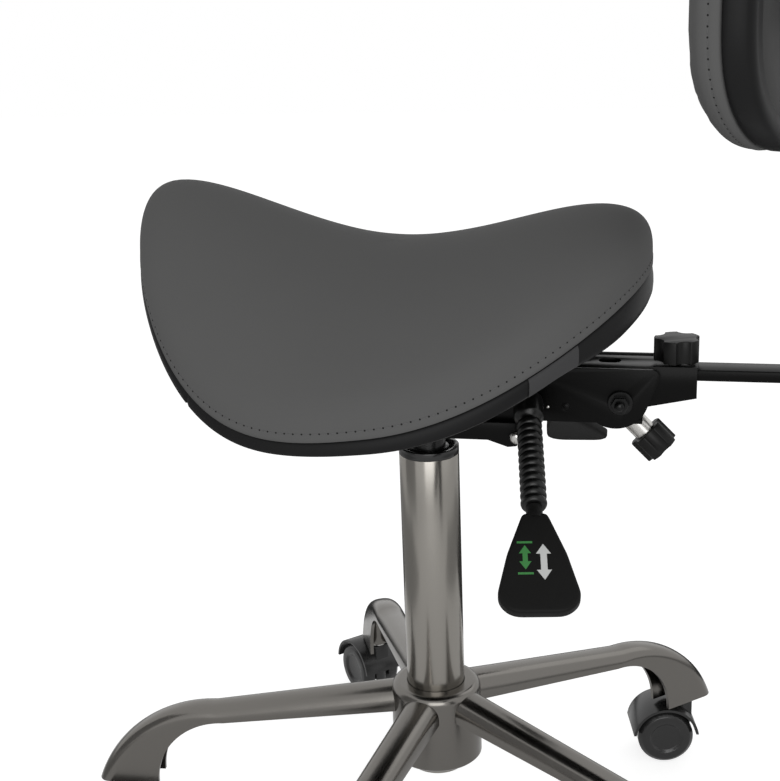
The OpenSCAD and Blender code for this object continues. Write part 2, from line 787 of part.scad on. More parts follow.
// Pressed plate under the pan with two ears outside the channel
module seat_bracket() {
    ear_y = channel_w / 2 + seat_gap + bracket_t / 2;
    plate_y = seat_screw_y + bracket_side;
    color([0.07, 0.07, 0.065]) difference() {
        union() {
            span([-tilt_ahead - bracket_front, -plate_y, bracket_z],
                [seat_screw_xs[1] + bracket_edge, plate_y, bracket_z + bracket_t]);
            for (side = [-1, 1]) translate([0, side * ear_y, 0]) rotate([90, 0, 0])
                linear_extrude(height = bracket_t, center = true) hull() {
                    translate([-tilt_ahead, tilt_pin_z]) circle(r = tilt_pin_d + pin_head_t, $fn = 48);
                    translate([-tilt_ahead - bracket_edge, bracket_z]) square([ear_length, bracket_t]);
                }
            for (x = seat_screw_xs, y = [-seat_screw_y, seat_screw_y]) translate([x, y, bracket_z])
                cylinder(h = spacer_top(x, y) - bracket_z, r = spacer_r);
        }
        along_y(-tilt_ahead, tilt_pin_z, tilt_pin_d / 2 + run_gap, 3 * channel_w);
        for (x = seat_screw_xs, y = [-seat_screw_y, seat_screw_y]) translate([x, y, bracket_z - over])
            cylinder(h = screw_top_z(x, y) - bracket_z + over, r = screw_r + run_gap);
    }
}
// Height at which a spacer meets the lowest spot of the pan over it
function spacer_top(x, y) = min([for (turn = [0 : 45 : 315]) pan_z(x + spacer_r * cos(turn), y + spacer_r * sin(turn))])
    - pad_floor - pan_t - 3 * seat_gap;
// A seat screw ends a little below the pan's upper face
function screw_top_z(x, y) = pan_z(x, y) - pad_floor - seat_gap - screw_cover;

module seat_screws() {
    color([0.6, 0.6, 0.58]) for (x = seat_screw_xs, y = [-seat_screw_y, seat_screw_y]) translate([x, y, bracket_z]) {
        translate([0, 0, -screw_head_h - seat_gap]) cylinder(h = screw_head_h, r = screw_head_r);
        translate([0, 0, -screw_head_h]) cylinder(h = screw_head_h + screw_top_z(x, y) - bracket_z - seat_gap, r = screw_r);
    }
}

// Moulded pan: the saddle's stiff shell, bored from below for the seat screws
module seat_pan() {
    top = pad_floor + seat_gap;
    low = top + pan_t;
    inner = [for (k = [len(floor_ring_shares) - 1 : -1 : 0]) pan_ring(floor_ring_shares[k], pad_inset, top)];
    color([0.1, 0.1, 0.1]) difference() {
        skin(pan_point(0, 0, pad_inset, top),
            concat(inner, [pan_ring(1, pad_inset, top), pan_ring(1, pad_inset, low)],
                [for (r = floor_ring_shares) pan_ring(r, pad_inset, low)]),
            pan_point(0, 0, pad_inset, low), len(inner) + 1);
        for (x = seat_screw_xs, y = [-seat_screw_y, seat_screw_y]) translate([x, y, bracket_z])
            cylinder(h = screw_top_z(x, y) - bracket_z, r = screw_r + run_gap);
    }
}

function pan_ring(reach, inset, drop) =
    [for (i = [0 : round_steps - 1]) pan_point(reach, i * 360 / round_steps, inset, drop)];

// Foam cushion under its panel: crowned above, drawn in below the edge seam
module seat_cushion() {
    tops = [for (r = top_ring_shares) [for (i = [0 : round_steps - 1]) crown_point(r, i * 360 / round_steps)]];
    color([0.34, 0.34, 0.34]) skin(crown_point(0, 0),
        concat(tops, [pan_ring(1, pad_inset, 0), pan_ring(1, pad_inset, pad_floor)],
            [for (r = floor_ring_shares) pan_ring(r, pad_inset, pad_floor)]),
        pan_point(0, 0, pad_inset, pad_floor), len(tops) + 1);
}

// Side band of the cover, slightly bowed, round the foam and the pan's edge
module seat_band() {
    color([0.1, 0.1, 0.1]) hoop([
        pan_ring(1, 0, seat_gap),
        pan_ring(1, -band_bow, band_height * 0.4),
        pan_ring(1, -band_bow / 2, band_height * 0.8),
        pan_ring(1, band_t / 2, band_height),
        pan_ring(1, band_t, band_height),
        pan_ring(1, band_t, seat_gap)]);
}

// Bare woven tag sewn on the band
module seat_tag() {
    steps = 6;
    color([0.25, 0.25, 0.25]) for (k = [0 : steps - 1]) hull() for (s = [k, k + 1]) {
        p = pan_point(1, tag_turn - tag_sweep / 2 + s * tag_sweep / steps, -2 * tag_t, band_height);
        translate(p) cylinder(h = band_height * 0.92, r = tag_t / 2, $fn = 8);
    }
}

// Inner channel, open below, that hinges on the pivot bolt and carries the bar
module bar_carrier() {
    half = carrier_w / 2;
    plate_z = bar_top - bar_t - seat_gap;
    color([0.2, 0.2, 0.18]) difference() {
        union() {
            span([carrier_front, -half, channel_top - carrier_t], [carrier_rear, half, channel_top]);
            for (side = [-1, 1]) translate([0, side * (half - carrier_t / 2), 0]) rotate([90, 0, 0])
                linear_extrude(height = carrier_t, center = true) hull() {
                    translate([carrier_front, channel_top - carrier_skirt]) square([carrier_t, carrier_skirt]);
                    translate([carrier_rear - carrier_t, channel_top - carrier_skirt]) square([carrier_t, carrier_skirt]);
                    translate([pivot_x, pivot_z]) circle(r = pivot_d, $fn = 48);
                }
            span([carrier_front, -half + carrier_t / 2, plate_z - carrier_t], [carrier_rear, half - carrier_t / 2, plate_z]);
        }
        along_y(pivot_x, pivot_z, pivot_d / 2 + run_gap, 2 * channel_w);
        for (x = [-slot_half, slot_half]) translate([pivot_x - slot_ahead + x, 0, channel_top - carrier_t - over])
            cylinder(h = carrier_t + 2 * over, r = slot_r);
        translate([pivot_x - slot_ahead - slot_half, -slot_r, channel_top - carrier_t - over])
            cube([2 * slot_half, 2 * slot_r, carrier_t + 2 * over]);
        translate([carrier_rear - clamp_inset, 0, channel_top - 2 * carrier_t])
            cylinder(h = 3 * carrier_t, r = screw_r + run_gap);
    }
}

// Pivot bolt with its washers, nuts and domed ends
module pivot_bolt() {
    out = channel_w / 2 + seat_gap;
    end = out + washer_t + nut_h;
    color([0.1, 0.1, 0.1]) {
        along_y(pivot_x, pivot_z, pivot_d / 2, 2 * end);
        for (side = [-1, 1]) {
            translate([0, side * (out + washer_t / 2), 0]) along_y(pivot_x, pivot_z, pivot_d + washer_over, washer_t);
            translate([pivot_x, side * (out + washer_t + nut_h / 2), pivot_z]) rotate([90, 0, 0])
                cylinder(h = nut_h, r = nut_r, center = true, $fn = 6);
            translate([pivot_x, side * end, pivot_z]) sphere(r = dome_r);
        }
    }
}

// Flat bar: level in the carrier, then bent up to the backrest
module back_bar() {
    front = carrier_front + bar_inset;
    centre_x = upright_x - bar_bend_r;
    top_z = back_z + upright_above;
    color([0.07, 0.07, 0.065]) rotate([90, 0, 0]) linear_extrude(height = bar_w, center = true) {
        translate([front, bar_top - bar_t]) square([centre_x - front, bar_t]);
        translate([centre_x, bar_top + bar_bend_r]) intersection() {
            difference() {
                circle(r = bar_bend_r + bar_t);
                circle(r = bar_bend_r);
            }
            translate([0, -bar_bend_r - bar_t]) square(bar_bend_r + bar_t);
        }
        translate([upright_x, bar_top + bar_bend_r]) square([bar_t, top_z - bar_top - bar_bend_r]);
    }
}

module bar_cap() {
    top_z = back_z + upright_above + seat_gap;
    color([0.05, 0.05, 0.05]) span([upright_x - cap_over, -bar_w / 2 - cap_over, top_z],
        [upright_x + bar_t + cap_over, bar_w / 2 + cap_over, top_z + cap_t]);
}

module depth_knob() {
    tip = bar_top + seat_gap;
    color([0.05, 0.05, 0.05]) translate([carrier_rear - clamp_inset, 0, 0]) {
        translate([0, 0, channel_top + clamp_lift]) star_knob(clamp_knob_r, clamp_knob_h);
        translate([0, 0, tip]) cylinder(h = channel_top + clamp_lift + clamp_knob_h / 2 - tip, r = screw_r);
    }
}

// Sleeve that slides on the upright and carries the backrest's hinge
module back_slider() {
    half = bar_w / 2 + seat_gap + slider_wall;
    color([0.08, 0.08, 0.08]) difference() {
        union() {
            span([upright_x - seat_gap - slider_wall, -half, back_z - slider_h / 2],
                [upright_x + bar_t + seat_gap + slider_wall + clamp_pad, half, back_z + slider_h / 2]);
            along_y(back_hinge_x, back_z, hinge_r + hinge_boss, 2 * half);
            span([back_hinge_x, -half, back_z - hinge_r - hinge_boss],
                [upright_x - seat_gap, half, back_z + hinge_r + hinge_boss]);
        }
        span([upright_x - seat_gap, -bar_w / 2 - seat_gap, back_z - slider_h],
            [upright_x + bar_t + seat_gap, bar_w / 2 + seat_gap, back_z + slider_h]);
        along_y(back_hinge_x, back_z, hinge_r + run_gap, 3 * half);
        translate([upright_x, 0, back_z]) rotate([0, 90, 0]) cylinder(h = slider_h, r = screw_r + run_gap);
    }
}

module height_knob() {
    from = upright_x + bar_t + seat_gap;
    out = from + slider_wall + clamp_pad + knob_gap;
    color([0.05, 0.05, 0.05]) translate([0, 0, back_z]) rotate([0, 90, 0]) {
        translate([0, 0, from]) cylinder(h = out - from + clamp_knob_h / 3, r = screw_r);
        translate([0, 0, out]) star_knob(clamp_knob_r, clamp_knob_h);
    }
}

module back_hinge_pin() {
    color([0.6, 0.6, 0.58]) along_y(back_hinge_x, back_z, hinge_r, bar_w + 2 * (slider_wall + hinge_pin_over));
}

// Steel plate behind the backrest, with two ears on the hinge pin
module back_plate() {
    half = bar_w / 2 + 2 * seat_gap + slider_wall;
    color([0.07, 0.07, 0.065]) difference() {
        union() {
            span([back_x - back_plate_t, -back_plate_w / 2, back_z - back_plate_h / 2],
                [back_x, back_plate_w / 2, back_z + back_plate_h / 2]);
            for (side = [-1, 1]) translate([0, side * (half + back_plate_t / 2), 0]) rotate([90, 0, 0])
                linear_extrude(height = back_plate_t, center = true) hull() {
                    translate([back_hinge_x, back_z]) circle(r = hinge_r + hinge_boss, $fn = 32);
                    translate([back_x - back_plate_t, back_z - back_ear_h / 2]) square([back_plate_t, back_ear_h]);
                }
        }
        along_y(back_hinge_x, back_z, hinge_r + run_gap, 4 * half);
    }
}

// Backrest outline: a point at a share of the reach, with its depth toward the front
function back_point(reach, turn, inset, depth) = let (y = (back_width / 2 - inset) * spow(cos(turn), back_round_share) * reach,
        z = (back_height / 2 - inset) * spow(sin(turn), back_round_share) * reach)
    [back_front(y) - depth, y, back_z + z];
function back_front(y) = back_x - back_plate_t - 2 * seat_gap - pan_t - back_wrap * pow(abs(y) / (back_width / 2), 2);
function back_ring(reach, inset, depth) =
    [for (i = [0 : back_steps - 1]) back_point(reach, i * 360 / back_steps, inset, depth)];

module back_pan() {
    behind = [for (r = back_ring_shares) back_ring(r, pad_inset, -pan_t)];
    color([0.1, 0.1, 0.1]) skin(back_point(0, 0, pad_inset, -pan_t),
        concat(behind, [for (k = [len(back_ring_shares) - 1 : -1 : 0]) back_ring(back_ring_shares[k], pad_inset, 0)]),
        back_point(0, 0, pad_inset, 0), len(behind));
}

module back_cushion() {
    side = band_height;
    behind = [for (r = back_ring_shares) back_ring(r, pad_inset, seat_gap)];
    color([0.34, 0.34, 0.34]) skin(back_point(0, 0, pad_inset, seat_gap),
        concat(behind, [back_ring(1, pad_inset, side)],
            [for (k = [len(top_ring_shares) - 1 : -1 : 0]) let (r = top_ring_shares[k])
                back_ring(r, 0, side + back_padding * crown(r, back_crown_power, back_crown_power))]),
        back_point(0, 0, 0, side + back_padding), len(behind));
}

module back_band() {
    color([0.1, 0.1, 0.1]) hoop([
        back_ring(1, band_t, band_height - seat_gap),
        back_ring(1, band_t, -pan_t),
        back_ring(1, band_t / 2, -pan_t),
        back_ring(1, -band_bow / 2, -pan_t / 2),
        back_ring(1, -band_bow, band_height * 0.4),
        back_ring(1, 0, band_height - seat_gap)]);
}

// Castors: k counts the arms
module castor_place(k) {
    rotate(first_arm + k * 360 / arms) translate([stem_at, 0, 0]) rotate(castor_turns[k]) children();
}

// Hood: the web between the wheels, the stem's boss and a guard over both wheels
module castor_hood(k) {
    top = tip_bottom - 2 * seat_gap - stem_flange_t;
    guard_w = web_w + 2 * (wheel_w + wheel_gap + guard_over);
    color([0.06, 0.06, 0.06]) castor_place(k) difference() {
        union() {
            rotate([90, 0, 0]) linear_extrude(height = web_w, center = true) hull() {
                translate([castor_trail, wheel_r]) circle(r = wheel_r * hub_share, $fn = 48);
                translate([-stem_boss_r, top - boss_deep]) square([2 * stem_boss_r, boss_deep]);
            }
            rotate([90, 0, 0]) linear_extrude(height = guard_w, center = true) difference() {
                translate([castor_trail, wheel_r]) circle(r = hood_r + hood_t, $fn = 64);
                translate([castor_trail, wheel_r]) circle(r = hood_r, $fn = 64);
                translate([castor_trail - 2 * hood_r, -hood_r]) square([4 * hood_r, wheel_r + hood_r + guard_lip]);
            }
            cylinder(h = top, r = stem_boss_r);
        }
        translate([0, 0, -over]) cylinder(h = wheel_r - boss_lip + over, r = 2 * stem_boss_r);
        translate([0, 0, top - stem_into_hood]) cylinder(h = stem_into_hood + over, r = stem_d / 2);
        translate([castor_trail, web_w, wheel_r]) rotate([90, 0, 0]) cylinder(h = 2 * web_w, r = axle_r + run_gap);
    }
}

module castor_stem(k) {
    top = tip_bottom - 2 * seat_gap - stem_flange_t;
    color([0.6, 0.6, 0.58]) castor_place(k) {
        translate([0, 0, top - stem_into_hood])
            cylinder(h = stem_into_hood + stem_flange_t + 2 * seat_gap + stem_hole - over, r = stem_d / 2);
        translate([0, 0, top + seat_gap]) cylinder(h = stem_flange_t, r = stem_boss_r);
    }
}

// Two wheels on their axle
module castor_wheels(k) {
    reach = web_w / 2 + wheel_gap;
    color([0.12, 0.12, 0.12]) castor_place(k) translate([castor_trail, 0, wheel_r]) {
        rotate([90, 0, 0]) cylinder(h = 2 * reach + wheel_w, r = axle_r, center = true);
        for (side = [-1, 1]) translate([0, side * (reach + wheel_w / 2), 0]) rotate([side * -90, 0, 0]) rotate_extrude()
            polygon([[0, -wheel_w / 2], [wheel_r - tread_t, -wheel_w / 2], [wheel_r, -wheel_w / 2 + tread_t],
                [wheel_r, wheel_w / 2 - 2 * tread_t], [wheel_r - 2 * tread_t, wheel_w / 2], [wheel_r * 0.6, wheel_w / 2],
                [wheel_r * 0.5, wheel_w / 2 - tread_t], [0, wheel_w / 2 - tread_t]]);
    }
}

star_base();
column_tube();
guide_bush();
thrust_bearing();
piston_rod();
rod_clip();
gas_cylinder();
release_button();
mech_housing();
mech_channel();
tension_sleeve();
lift_rod();
lift_boot();
lift_paddle();
tilt_rod();
tilt_boot();
tilt_paddle();
recline_rod();
recline_boot();
recline_paddle();
tilt_pin();
seat_bracket();
seat_screws();
seat_pan();
seat_cushion();
seat_band();
seat_tag();
bar_carrier();
pivot_bolt();
tension_knob();
depth_knob();
back_bar();
back_slider();
height_knob();
back_hinge_pin();
back_plate();
back_pan();
back_cushion();
back_band();
bar_cap();
castor_hood(0);  // castor_hood_1
castor_stem(0);  // castor_stem_1
castor_wheels(0);  // castor_wheels_1
castor_hood(1);  // castor_hood_2
castor_stem(1);  // castor_stem_2
castor_wheels(1);  // castor_wheels_2
castor_hood(2);  // castor_hood_3
castor_stem(2);  // castor_stem_3
castor_wheels(2);  // castor_wheels_3
castor_hood(3);  // castor_hood_4
castor_stem(3);  // castor_stem_4
castor_wheels(3);  // castor_wheels_4
castor_hood(4);  // castor_hood_5
castor_stem(4);  // castor_stem_5
castor_wheels(4);  // castor_wheels_5
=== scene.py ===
import math

import bmesh
import bpy
import numpy as np
from mathutils import Matrix, Vector, geometry


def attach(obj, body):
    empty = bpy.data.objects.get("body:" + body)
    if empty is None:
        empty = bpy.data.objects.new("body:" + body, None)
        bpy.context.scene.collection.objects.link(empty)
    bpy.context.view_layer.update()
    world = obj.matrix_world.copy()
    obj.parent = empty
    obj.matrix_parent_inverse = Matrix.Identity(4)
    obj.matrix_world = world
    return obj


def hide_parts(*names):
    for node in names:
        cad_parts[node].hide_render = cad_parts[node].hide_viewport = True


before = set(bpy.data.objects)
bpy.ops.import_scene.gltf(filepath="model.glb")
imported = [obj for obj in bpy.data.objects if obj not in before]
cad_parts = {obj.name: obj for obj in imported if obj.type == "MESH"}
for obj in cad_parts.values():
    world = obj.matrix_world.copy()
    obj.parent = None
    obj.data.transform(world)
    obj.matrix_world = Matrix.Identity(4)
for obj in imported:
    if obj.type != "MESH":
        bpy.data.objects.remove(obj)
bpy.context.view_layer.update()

# The camera
# It stands at the stool's side, a little behind the column and above the seat, turned towards the
# front, tipped down and leaning a little. The focal length is in pixels of the picture's width.
PICTURE_WIDTH_PX = 780.0
FOCAL_LENGTH_PX = 1400.0
SENSOR_WIDTH_MM = 36.0
CAMERA_PLACE = (0.2168, -1.0746, 0.7744)
CAMERA_YAW = math.radians(-13.0)
CAMERA_PITCH = math.radians(17.3)
CAMERA_LEAN = math.radians(-2.2)


def link_new(name, data):
    """A new object that is linked to the scene."""
    piece = bpy.data.objects.new(name, data)
    bpy.context.scene.collection.objects.link(piece)
    return piece


looking = Vector((math.sin(CAMERA_YAW) * math.cos(CAMERA_PITCH),
                  math.cos(CAMERA_YAW) * math.cos(CAMERA_PITCH), -math.sin(CAMERA_PITCH)))
level_right = Vector((math.cos(CAMERA_YAW), -math.sin(CAMERA_YAW), 0.0))
level_up = level_right.cross(looking)
right = math.cos(CAMERA_LEAN) * level_right + math.sin(CAMERA_LEAN) * level_up
up = math.cos(CAMERA_LEAN) * level_up - math.sin(CAMERA_LEAN) * level_right

camera_data = bpy.data.cameras.new("camera")
camera_data.sensor_fit = "HORIZONTAL"
camera_data.sensor_width = SENSOR_WIDTH_MM
camera_data.lens = FOCAL_LENGTH_PX / PICTURE_WIDTH_PX * SENSOR_WIDTH_MM
camera = link_new("camera", camera_data)
camera_axes = Matrix((right, up, -looking)).transposed().to_4x4()
camera.matrix_world = Matrix.Translation(CAMERA_PLACE) @ camera_axes
bpy.context.scene.camera = camera
bpy.context.scene.view_settings.view_transform = "Standard"


# The studio
# A pale floor under white surroundings, one broad soft lamp behind the camera and a second one
# above and beyond the stool. Grey cloths stand and lie round it, which only shiny surfaces mirror.
FLOOR_HALF = 6.0
FLOOR_COLOUR = (0.5, 0.5, 0.5, 1.0)
FLOOR_GLOW = 0.76
ROOM_STRENGTH = 0.62
WHITE = (1.0, 1.0, 1.0, 1.0)
# Each cloth's name, grey tone, place on the floor, width with its height or length, whether it stands.
CLOTHS = (("right_cloth", 0.015, (1.9, -1.6), (0.5, 1.8), True),
          ("left_cloth", 0.42, (-1.9, -0.9), (1.7, 2.2), True),
          ("left_rug", 0.46, (-1.0, 0.15), (1.0, 1.6), False),
          ("right_rug", 0.46, (1.1, 0.3), (0.9, 1.4), False),
          ("rear_rug", 0.03, (0.05, 1.15), (1.5, 1.5), False))
CLOTH_OVER_FLOOR = 0.004
# Each lamp's name, place and power in watts.
LAMPS = (("broad_lamp", (0.45, -2.3, 1.15), 22.0), ("rear_lamp", (1.3, 1.6, 2.2), 3.5))
LAMP_SIZE = 1.6
LAMP_AIM = (0.0, 0.0, 0.45)


def new_material(name):
    material = bpy.data.materials.new(name)
    material.use_nodes = True
    nodes, links = material.node_tree.nodes, material.node_tree.links
    return material, nodes, links, nodes["Principled BSDF"]


def quad(name, corners, material):
    mesh = bpy.data.meshes.new(name)
    mesh.from_pydata(corners, [], [(0, 1, 2, 3)])
    mesh.materials.append(material)
    return link_new(name, mesh)


def seen_by_eye(nodes, links, low, high, mirrored=True):
    """A strength that is high for what the camera sees, straight or mirrored, and low for light."""
    rays = nodes.new("ShaderNodeLightPath")
    either = nodes.new("ShaderNodeMath")
    either.operation = "MAXIMUM"
    links.new(rays.outputs["Is Camera Ray"], either.inputs[0])
    if mirrored:
        links.new(rays.outputs["Is Glossy Ray"], either.inputs[1])
    any_of = nodes.new("ShaderNodeMath")
    any_of.operation = "MAXIMUM"
    links.new(either.outputs[0], any_of.inputs[0])
    links.new(rays.outputs["Is Transmission Ray"], any_of.inputs[1])
    strength = nodes.new("ShaderNodeMapRange")
    strength.inputs["To Min"].default_value = low
    strength.inputs["To Max"].default_value = high
    links.new(any_of.outputs[0], strength.inputs["Value"])
    return strength.outputs["Result"]


world = bpy.data.worlds.new("white_room")
bpy.context.scene.world = world
world.use_nodes = True
nodes, links = world.node_tree.nodes, world.node_tree.links
nodes["Background"].inputs["Color"].default_value = WHITE
links.new(seen_by_eye(nodes, links, ROOM_STRENGTH, 1.0), nodes["Background"].inputs["Strength"])

pale_floor, nodes, links, shader = new_material("pale_floor")
shader.inputs["Base Color"].default_value = FLOOR_COLOUR
shader.inputs["Roughness"].default_value = 0.9
shader.inputs["Specular IOR Level"].default_value = 0.0
shader.inputs["Emission Color"].default_value = WHITE
links.new(seen_by_eye(nodes, links, 0.0, FLOOR_GLOW, mirrored=False), shader.inputs["Emission Strength"])
floor_corners = [(-FLOOR_HALF, -FLOOR_HALF, 0.0), (FLOOR_HALF, -FLOOR_HALF, 0.0),
                 (FLOOR_HALF, FLOOR_HALF, 0.0), (-FLOOR_HALF, FLOOR_HALF, 0.0)]
quad("floor", floor_corners, pale_floor)

for name, tone, place, size, standing in CLOTHS:
    cloth_finish, nodes, links, shader = new_material(name)
    shader.inputs["Base Color"].default_value = (tone, tone, tone, 1.0)
    shader.inputs["Roughness"].default_value = 1.0
    at = Vector((*place, CLOTH_OVER_FLOOR))
    along, beyond = Vector((size[0] / 2, 0.0, 0.0)), Vector((0.0, size[1] / 2, 0.0))
    if standing:
        outward = at.normalized()
        along = Vector((-outward.y, outward.x, 0.0)).normalized() * (size[0] / 2)
        beyond = Vector((0.0, 0.0, size[1] / 2))
        at = at + beyond
    corners = [at - along - beyond, at + along - beyond, at + along + beyond, at - along + beyond]
    cloth = quad(name, corners, cloth_finish)
    cloth.visible_camera = False
    cloth.visible_diffuse = False
    cloth.visible_shadow = False

for name, place, power in LAMPS:
    lamp_data = bpy.data.lights.new(name, "AREA")
    lamp_data.shape = "SQUARE"
    lamp_data.size = LAMP_SIZE
    lamp_data.energy = power
    lamp = link_new(name, lamp_data)
    lamp.location = place
    aim = Vector(LAMP_AIM) - lamp.location
    lamp.rotation_euler = aim.to_track_quat("-Z", "Y").to_euler()


# The star base
# One aluminium casting, polished: five arms that bend down to the castors' sockets, round over the
# back and open below, on a hub that the column is pressed into.
ALLOY_COLOUR = (0.165, 0.157, 0.146, 1.0)
ARMS = 5
FIRST_ARM = math.radians(42.0)
ARM_ROOT = (0.033, 0.165)
ARM_ROOT_UNDER = (0.033, 0.144)
BEND_CENTRE = (0.20066, 0.020)
BEND_RADIUS = 0.119
BEND_TURN = math.radians(69.33)
BEND_UNDER_CENTRE = (0.19066, 0.062)
BEND_UNDER_RADIUS = 0.064
ARM_HALF_WIDTHS = (0.017, 0.0135)
ARM_REACH = 0.312
ARM_WALL = 0.0035
ARM_ROUND_SHARE = 0.85
INNER_ROUND_SHARE = 0.6
ACROSS_POWER, DOWN_POWER = 0.8, 0.9
ARCH_POINTS = 40
STRAIGHT_STATIONS, BEND_STATIONS = 9, 28
NEARLY = 0.0001
HUB_BORE, HUB_RADIUS, HUB_EASE, HUB_ROUND = 0.0254, 0.039, 0.0015, 0.0075
HUB_BOTTOM, HUB_TOP = 0.098, 0.168
SOCKET_FAR = 0.28333
SOCKET_BORE, SOCKET_RADIUS, SOCKET_EASE = 0.0056, 0.0105, 0.0007
SOCKET_BOTTOM, SOCKET_CEILING, SOCKET_TOP = 0.062, 0.087, 0.091
UPRIGHT = Matrix.Rotation(-math.pi / 2, 4, "Y")


def smooth_by_angle(piece, angle):
    piece.data.shade_smooth()
    piece.data.set_sharp_from_angle(angle=angle)


def dress(piece, material, body):
    piece.data.materials.clear()
    piece.data.materials.append(material)
    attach(piece, body)


def noise(nodes, links, place, grain, detail):
    """A cloudy texture's value: grain is in cycles per metre."""
    clouds = nodes.new("ShaderNodeTexNoise")
    clouds.inputs["Scale"].default_value = grain
    clouds.inputs["Detail"].default_value = detail
    links.new(place, clouds.inputs["Vector"])
    return clouds.outputs["Fac"]


def uneven_gloss(nodes, links, shader, texture, low, high):
    """Roughness that goes from low to high with a texture's value."""
    gloss = nodes.new("ShaderNodeMapRange")
    gloss.inputs["To Min"].default_value = low
    gloss.inputs["To Max"].default_value = high
    links.new(texture, gloss.inputs["Value"])
    links.new(gloss.outputs["Result"], shader.inputs["Roughness"])


def raised_grain(nodes, links, shader, texture, strength, depth):
    """Shading as if the surface rose by depth with a texture's value."""
    bump = nodes.new("ShaderNodeBump")
    bump.inputs["Strength"].default_value = strength
    bump.inputs["Distance"].default_value = depth
    links.new(texture, bump.inputs["Height"])
    links.new(bump.outputs["Normal"], shader.inputs["Normal"])


def metal(name, colour, roughness, grain, depth, streak=(1.0, 1.0, 1.0)):
    """A metal finish with faint uneven polish, drawn out along an axis where its streak is small."""
    material, nodes, links, shader = new_material(name)
    shader.inputs["Base Color"].default_value = colour
    shader.inputs["Metallic"].default_value = 1.0
    place = nodes.new("ShaderNodeTexCoord")
    stretch = nodes.new("ShaderNodeMapping")
    stretch.inputs["Scale"].default_value = streak
    links.new(place.outputs["Object"], stretch.inputs["Vector"])
    polish = noise(nodes, links, stretch.outputs["Vector"], grain, 3.0)
    uneven_gloss(nodes, links, shader, polish, roughness * 0.75, roughness * 1.3)
    raised_grain(nodes, links, shader, polish, 0.35, depth)
    return material


def faced_outwards(mesh, merge=0.0, fill=False):
    """Turns the faces outwards, after near points are merged or open ends are filled."""
    form = bmesh.new()
    form.from_mesh(mesh)
    if merge > 0.0:
        bmesh.ops.remove_doubles(form, verts=form.verts, dist=merge)
    if fill:
        bmesh.ops.holes_fill(form, edges=[edge for edge in form.edges if edge.is_boundary], sides=0)
    bmesh.ops.recalc_face_normals(form, faces=form.faces)
    form.to_mesh(mesh)
    form.free()


def joined(piece, parts):
    """Adds the parts' meshes to the piece and takes the parts away."""
    form = bmesh.new()
    form.from_mesh(piece.data)
    for part in parts:
        form.from_mesh(part.data)
        bpy.data.objects.remove(part)
    form.to_mesh(piece.data)
    form.free()


def rings_to_mesh(name, rings, first=None, last=None):
    """A skin over rings of points, closed at either end by a point."""
    count = len(rings[0])
    points = [tuple(p) for ring in rings for p in ring]
    faces = []
    for j in range(len(rings) - 1):
        for i in range(count):
            k = (i + 1) % count
            faces.append((j * count + i, (j + 1) * count + i, (j + 1) * count + k, j * count + k))
    if first is not None:
        points.append(tuple(first))
        faces += [(len(points) - 1, i, (i + 1) % count) for i in range(count)]
    if last is not None:
        points.append(tuple(last))
        base = (len(rings) - 1) * count
        faces += [(len(points) - 1, base + (i + 1) % count, base + i) for i in range(count)]
    mesh = bpy.data.meshes.new(name)
    mesh.from_pydata(points, [], faces)
    mesh.validate()
    mesh.shade_smooth()
    return link_new(name, mesh)


def turned(name, outline, place, count=48):
    """A turned form: outline is a closed list of (radius, distance along the axis)."""
    points, faces = [], []
    rows = len(outline)
    for i in range(count):
        angle = 2 * math.pi * i / count
        for radius, far in outline:
            points.append(place @ Vector((far, radius * math.cos(angle), radius * math.sin(angle))))
    for i in range(count):
        j = (i + 1) % count
        for k in range(rows):
            m = (k + 1) % rows
            faces.append((i * rows + k, j * rows + k, j * rows + m, i * rows + m))
    mesh = bpy.data.meshes.new(name)
    mesh.from_pydata(points, [], faces)
    mesh.validate()
    faced_outwards(mesh, merge=0.000002)
    piece = link_new(name, mesh)
    smooth_by_angle(piece, math.radians(50))
    return piece


def arch(half, depth, corner):
    """Half-round over the top, straight down the sides: points across the arm and down from its back."""
    over = [(half * np.sign(math.cos(t)) * abs(math.cos(t)) ** ACROSS_POWER,
             corner * (1.0 - math.sin(t) ** DOWN_POWER)) for t in np.linspace(math.pi, 0.0, ARCH_POINTS)]
    return [(-half, depth)] + over + [(half, depth)]


def between(start, end, share):
    return start[0] + (end[0] - start[0]) * share, start[1] + (end[1] - start[1]) * share


def on_bend(centre, radius, bent):
    """A point of an arc that starts at its top and bends outwards and down."""
    return centre[0] + radius * math.sin(bent), centre[1] + radius * math.cos(bent)


def arm_stations():
    """Back and underside of an arm in its own upright plane, from the hub to the tip."""
    bend_from = on_bend(BEND_CENTRE, BEND_RADIUS, 0.0)
    under_from = on_bend(BEND_UNDER_CENTRE, BEND_UNDER_RADIUS, 0.0)
    for share in np.linspace(0.0, 1.0, STRAIGHT_STATIONS + 1)[:-1]:
        yield between(ARM_ROOT, bend_from, share), between(ARM_ROOT_UNDER, under_from, share)
    for share in np.linspace(0.0, 1.0, BEND_STATIONS):
        yield (on_bend(BEND_CENTRE, BEND_RADIUS, share * BEND_TURN),
               on_bend(BEND_UNDER_CENTRE, BEND_UNDER_RADIUS, share * math.pi / 2))


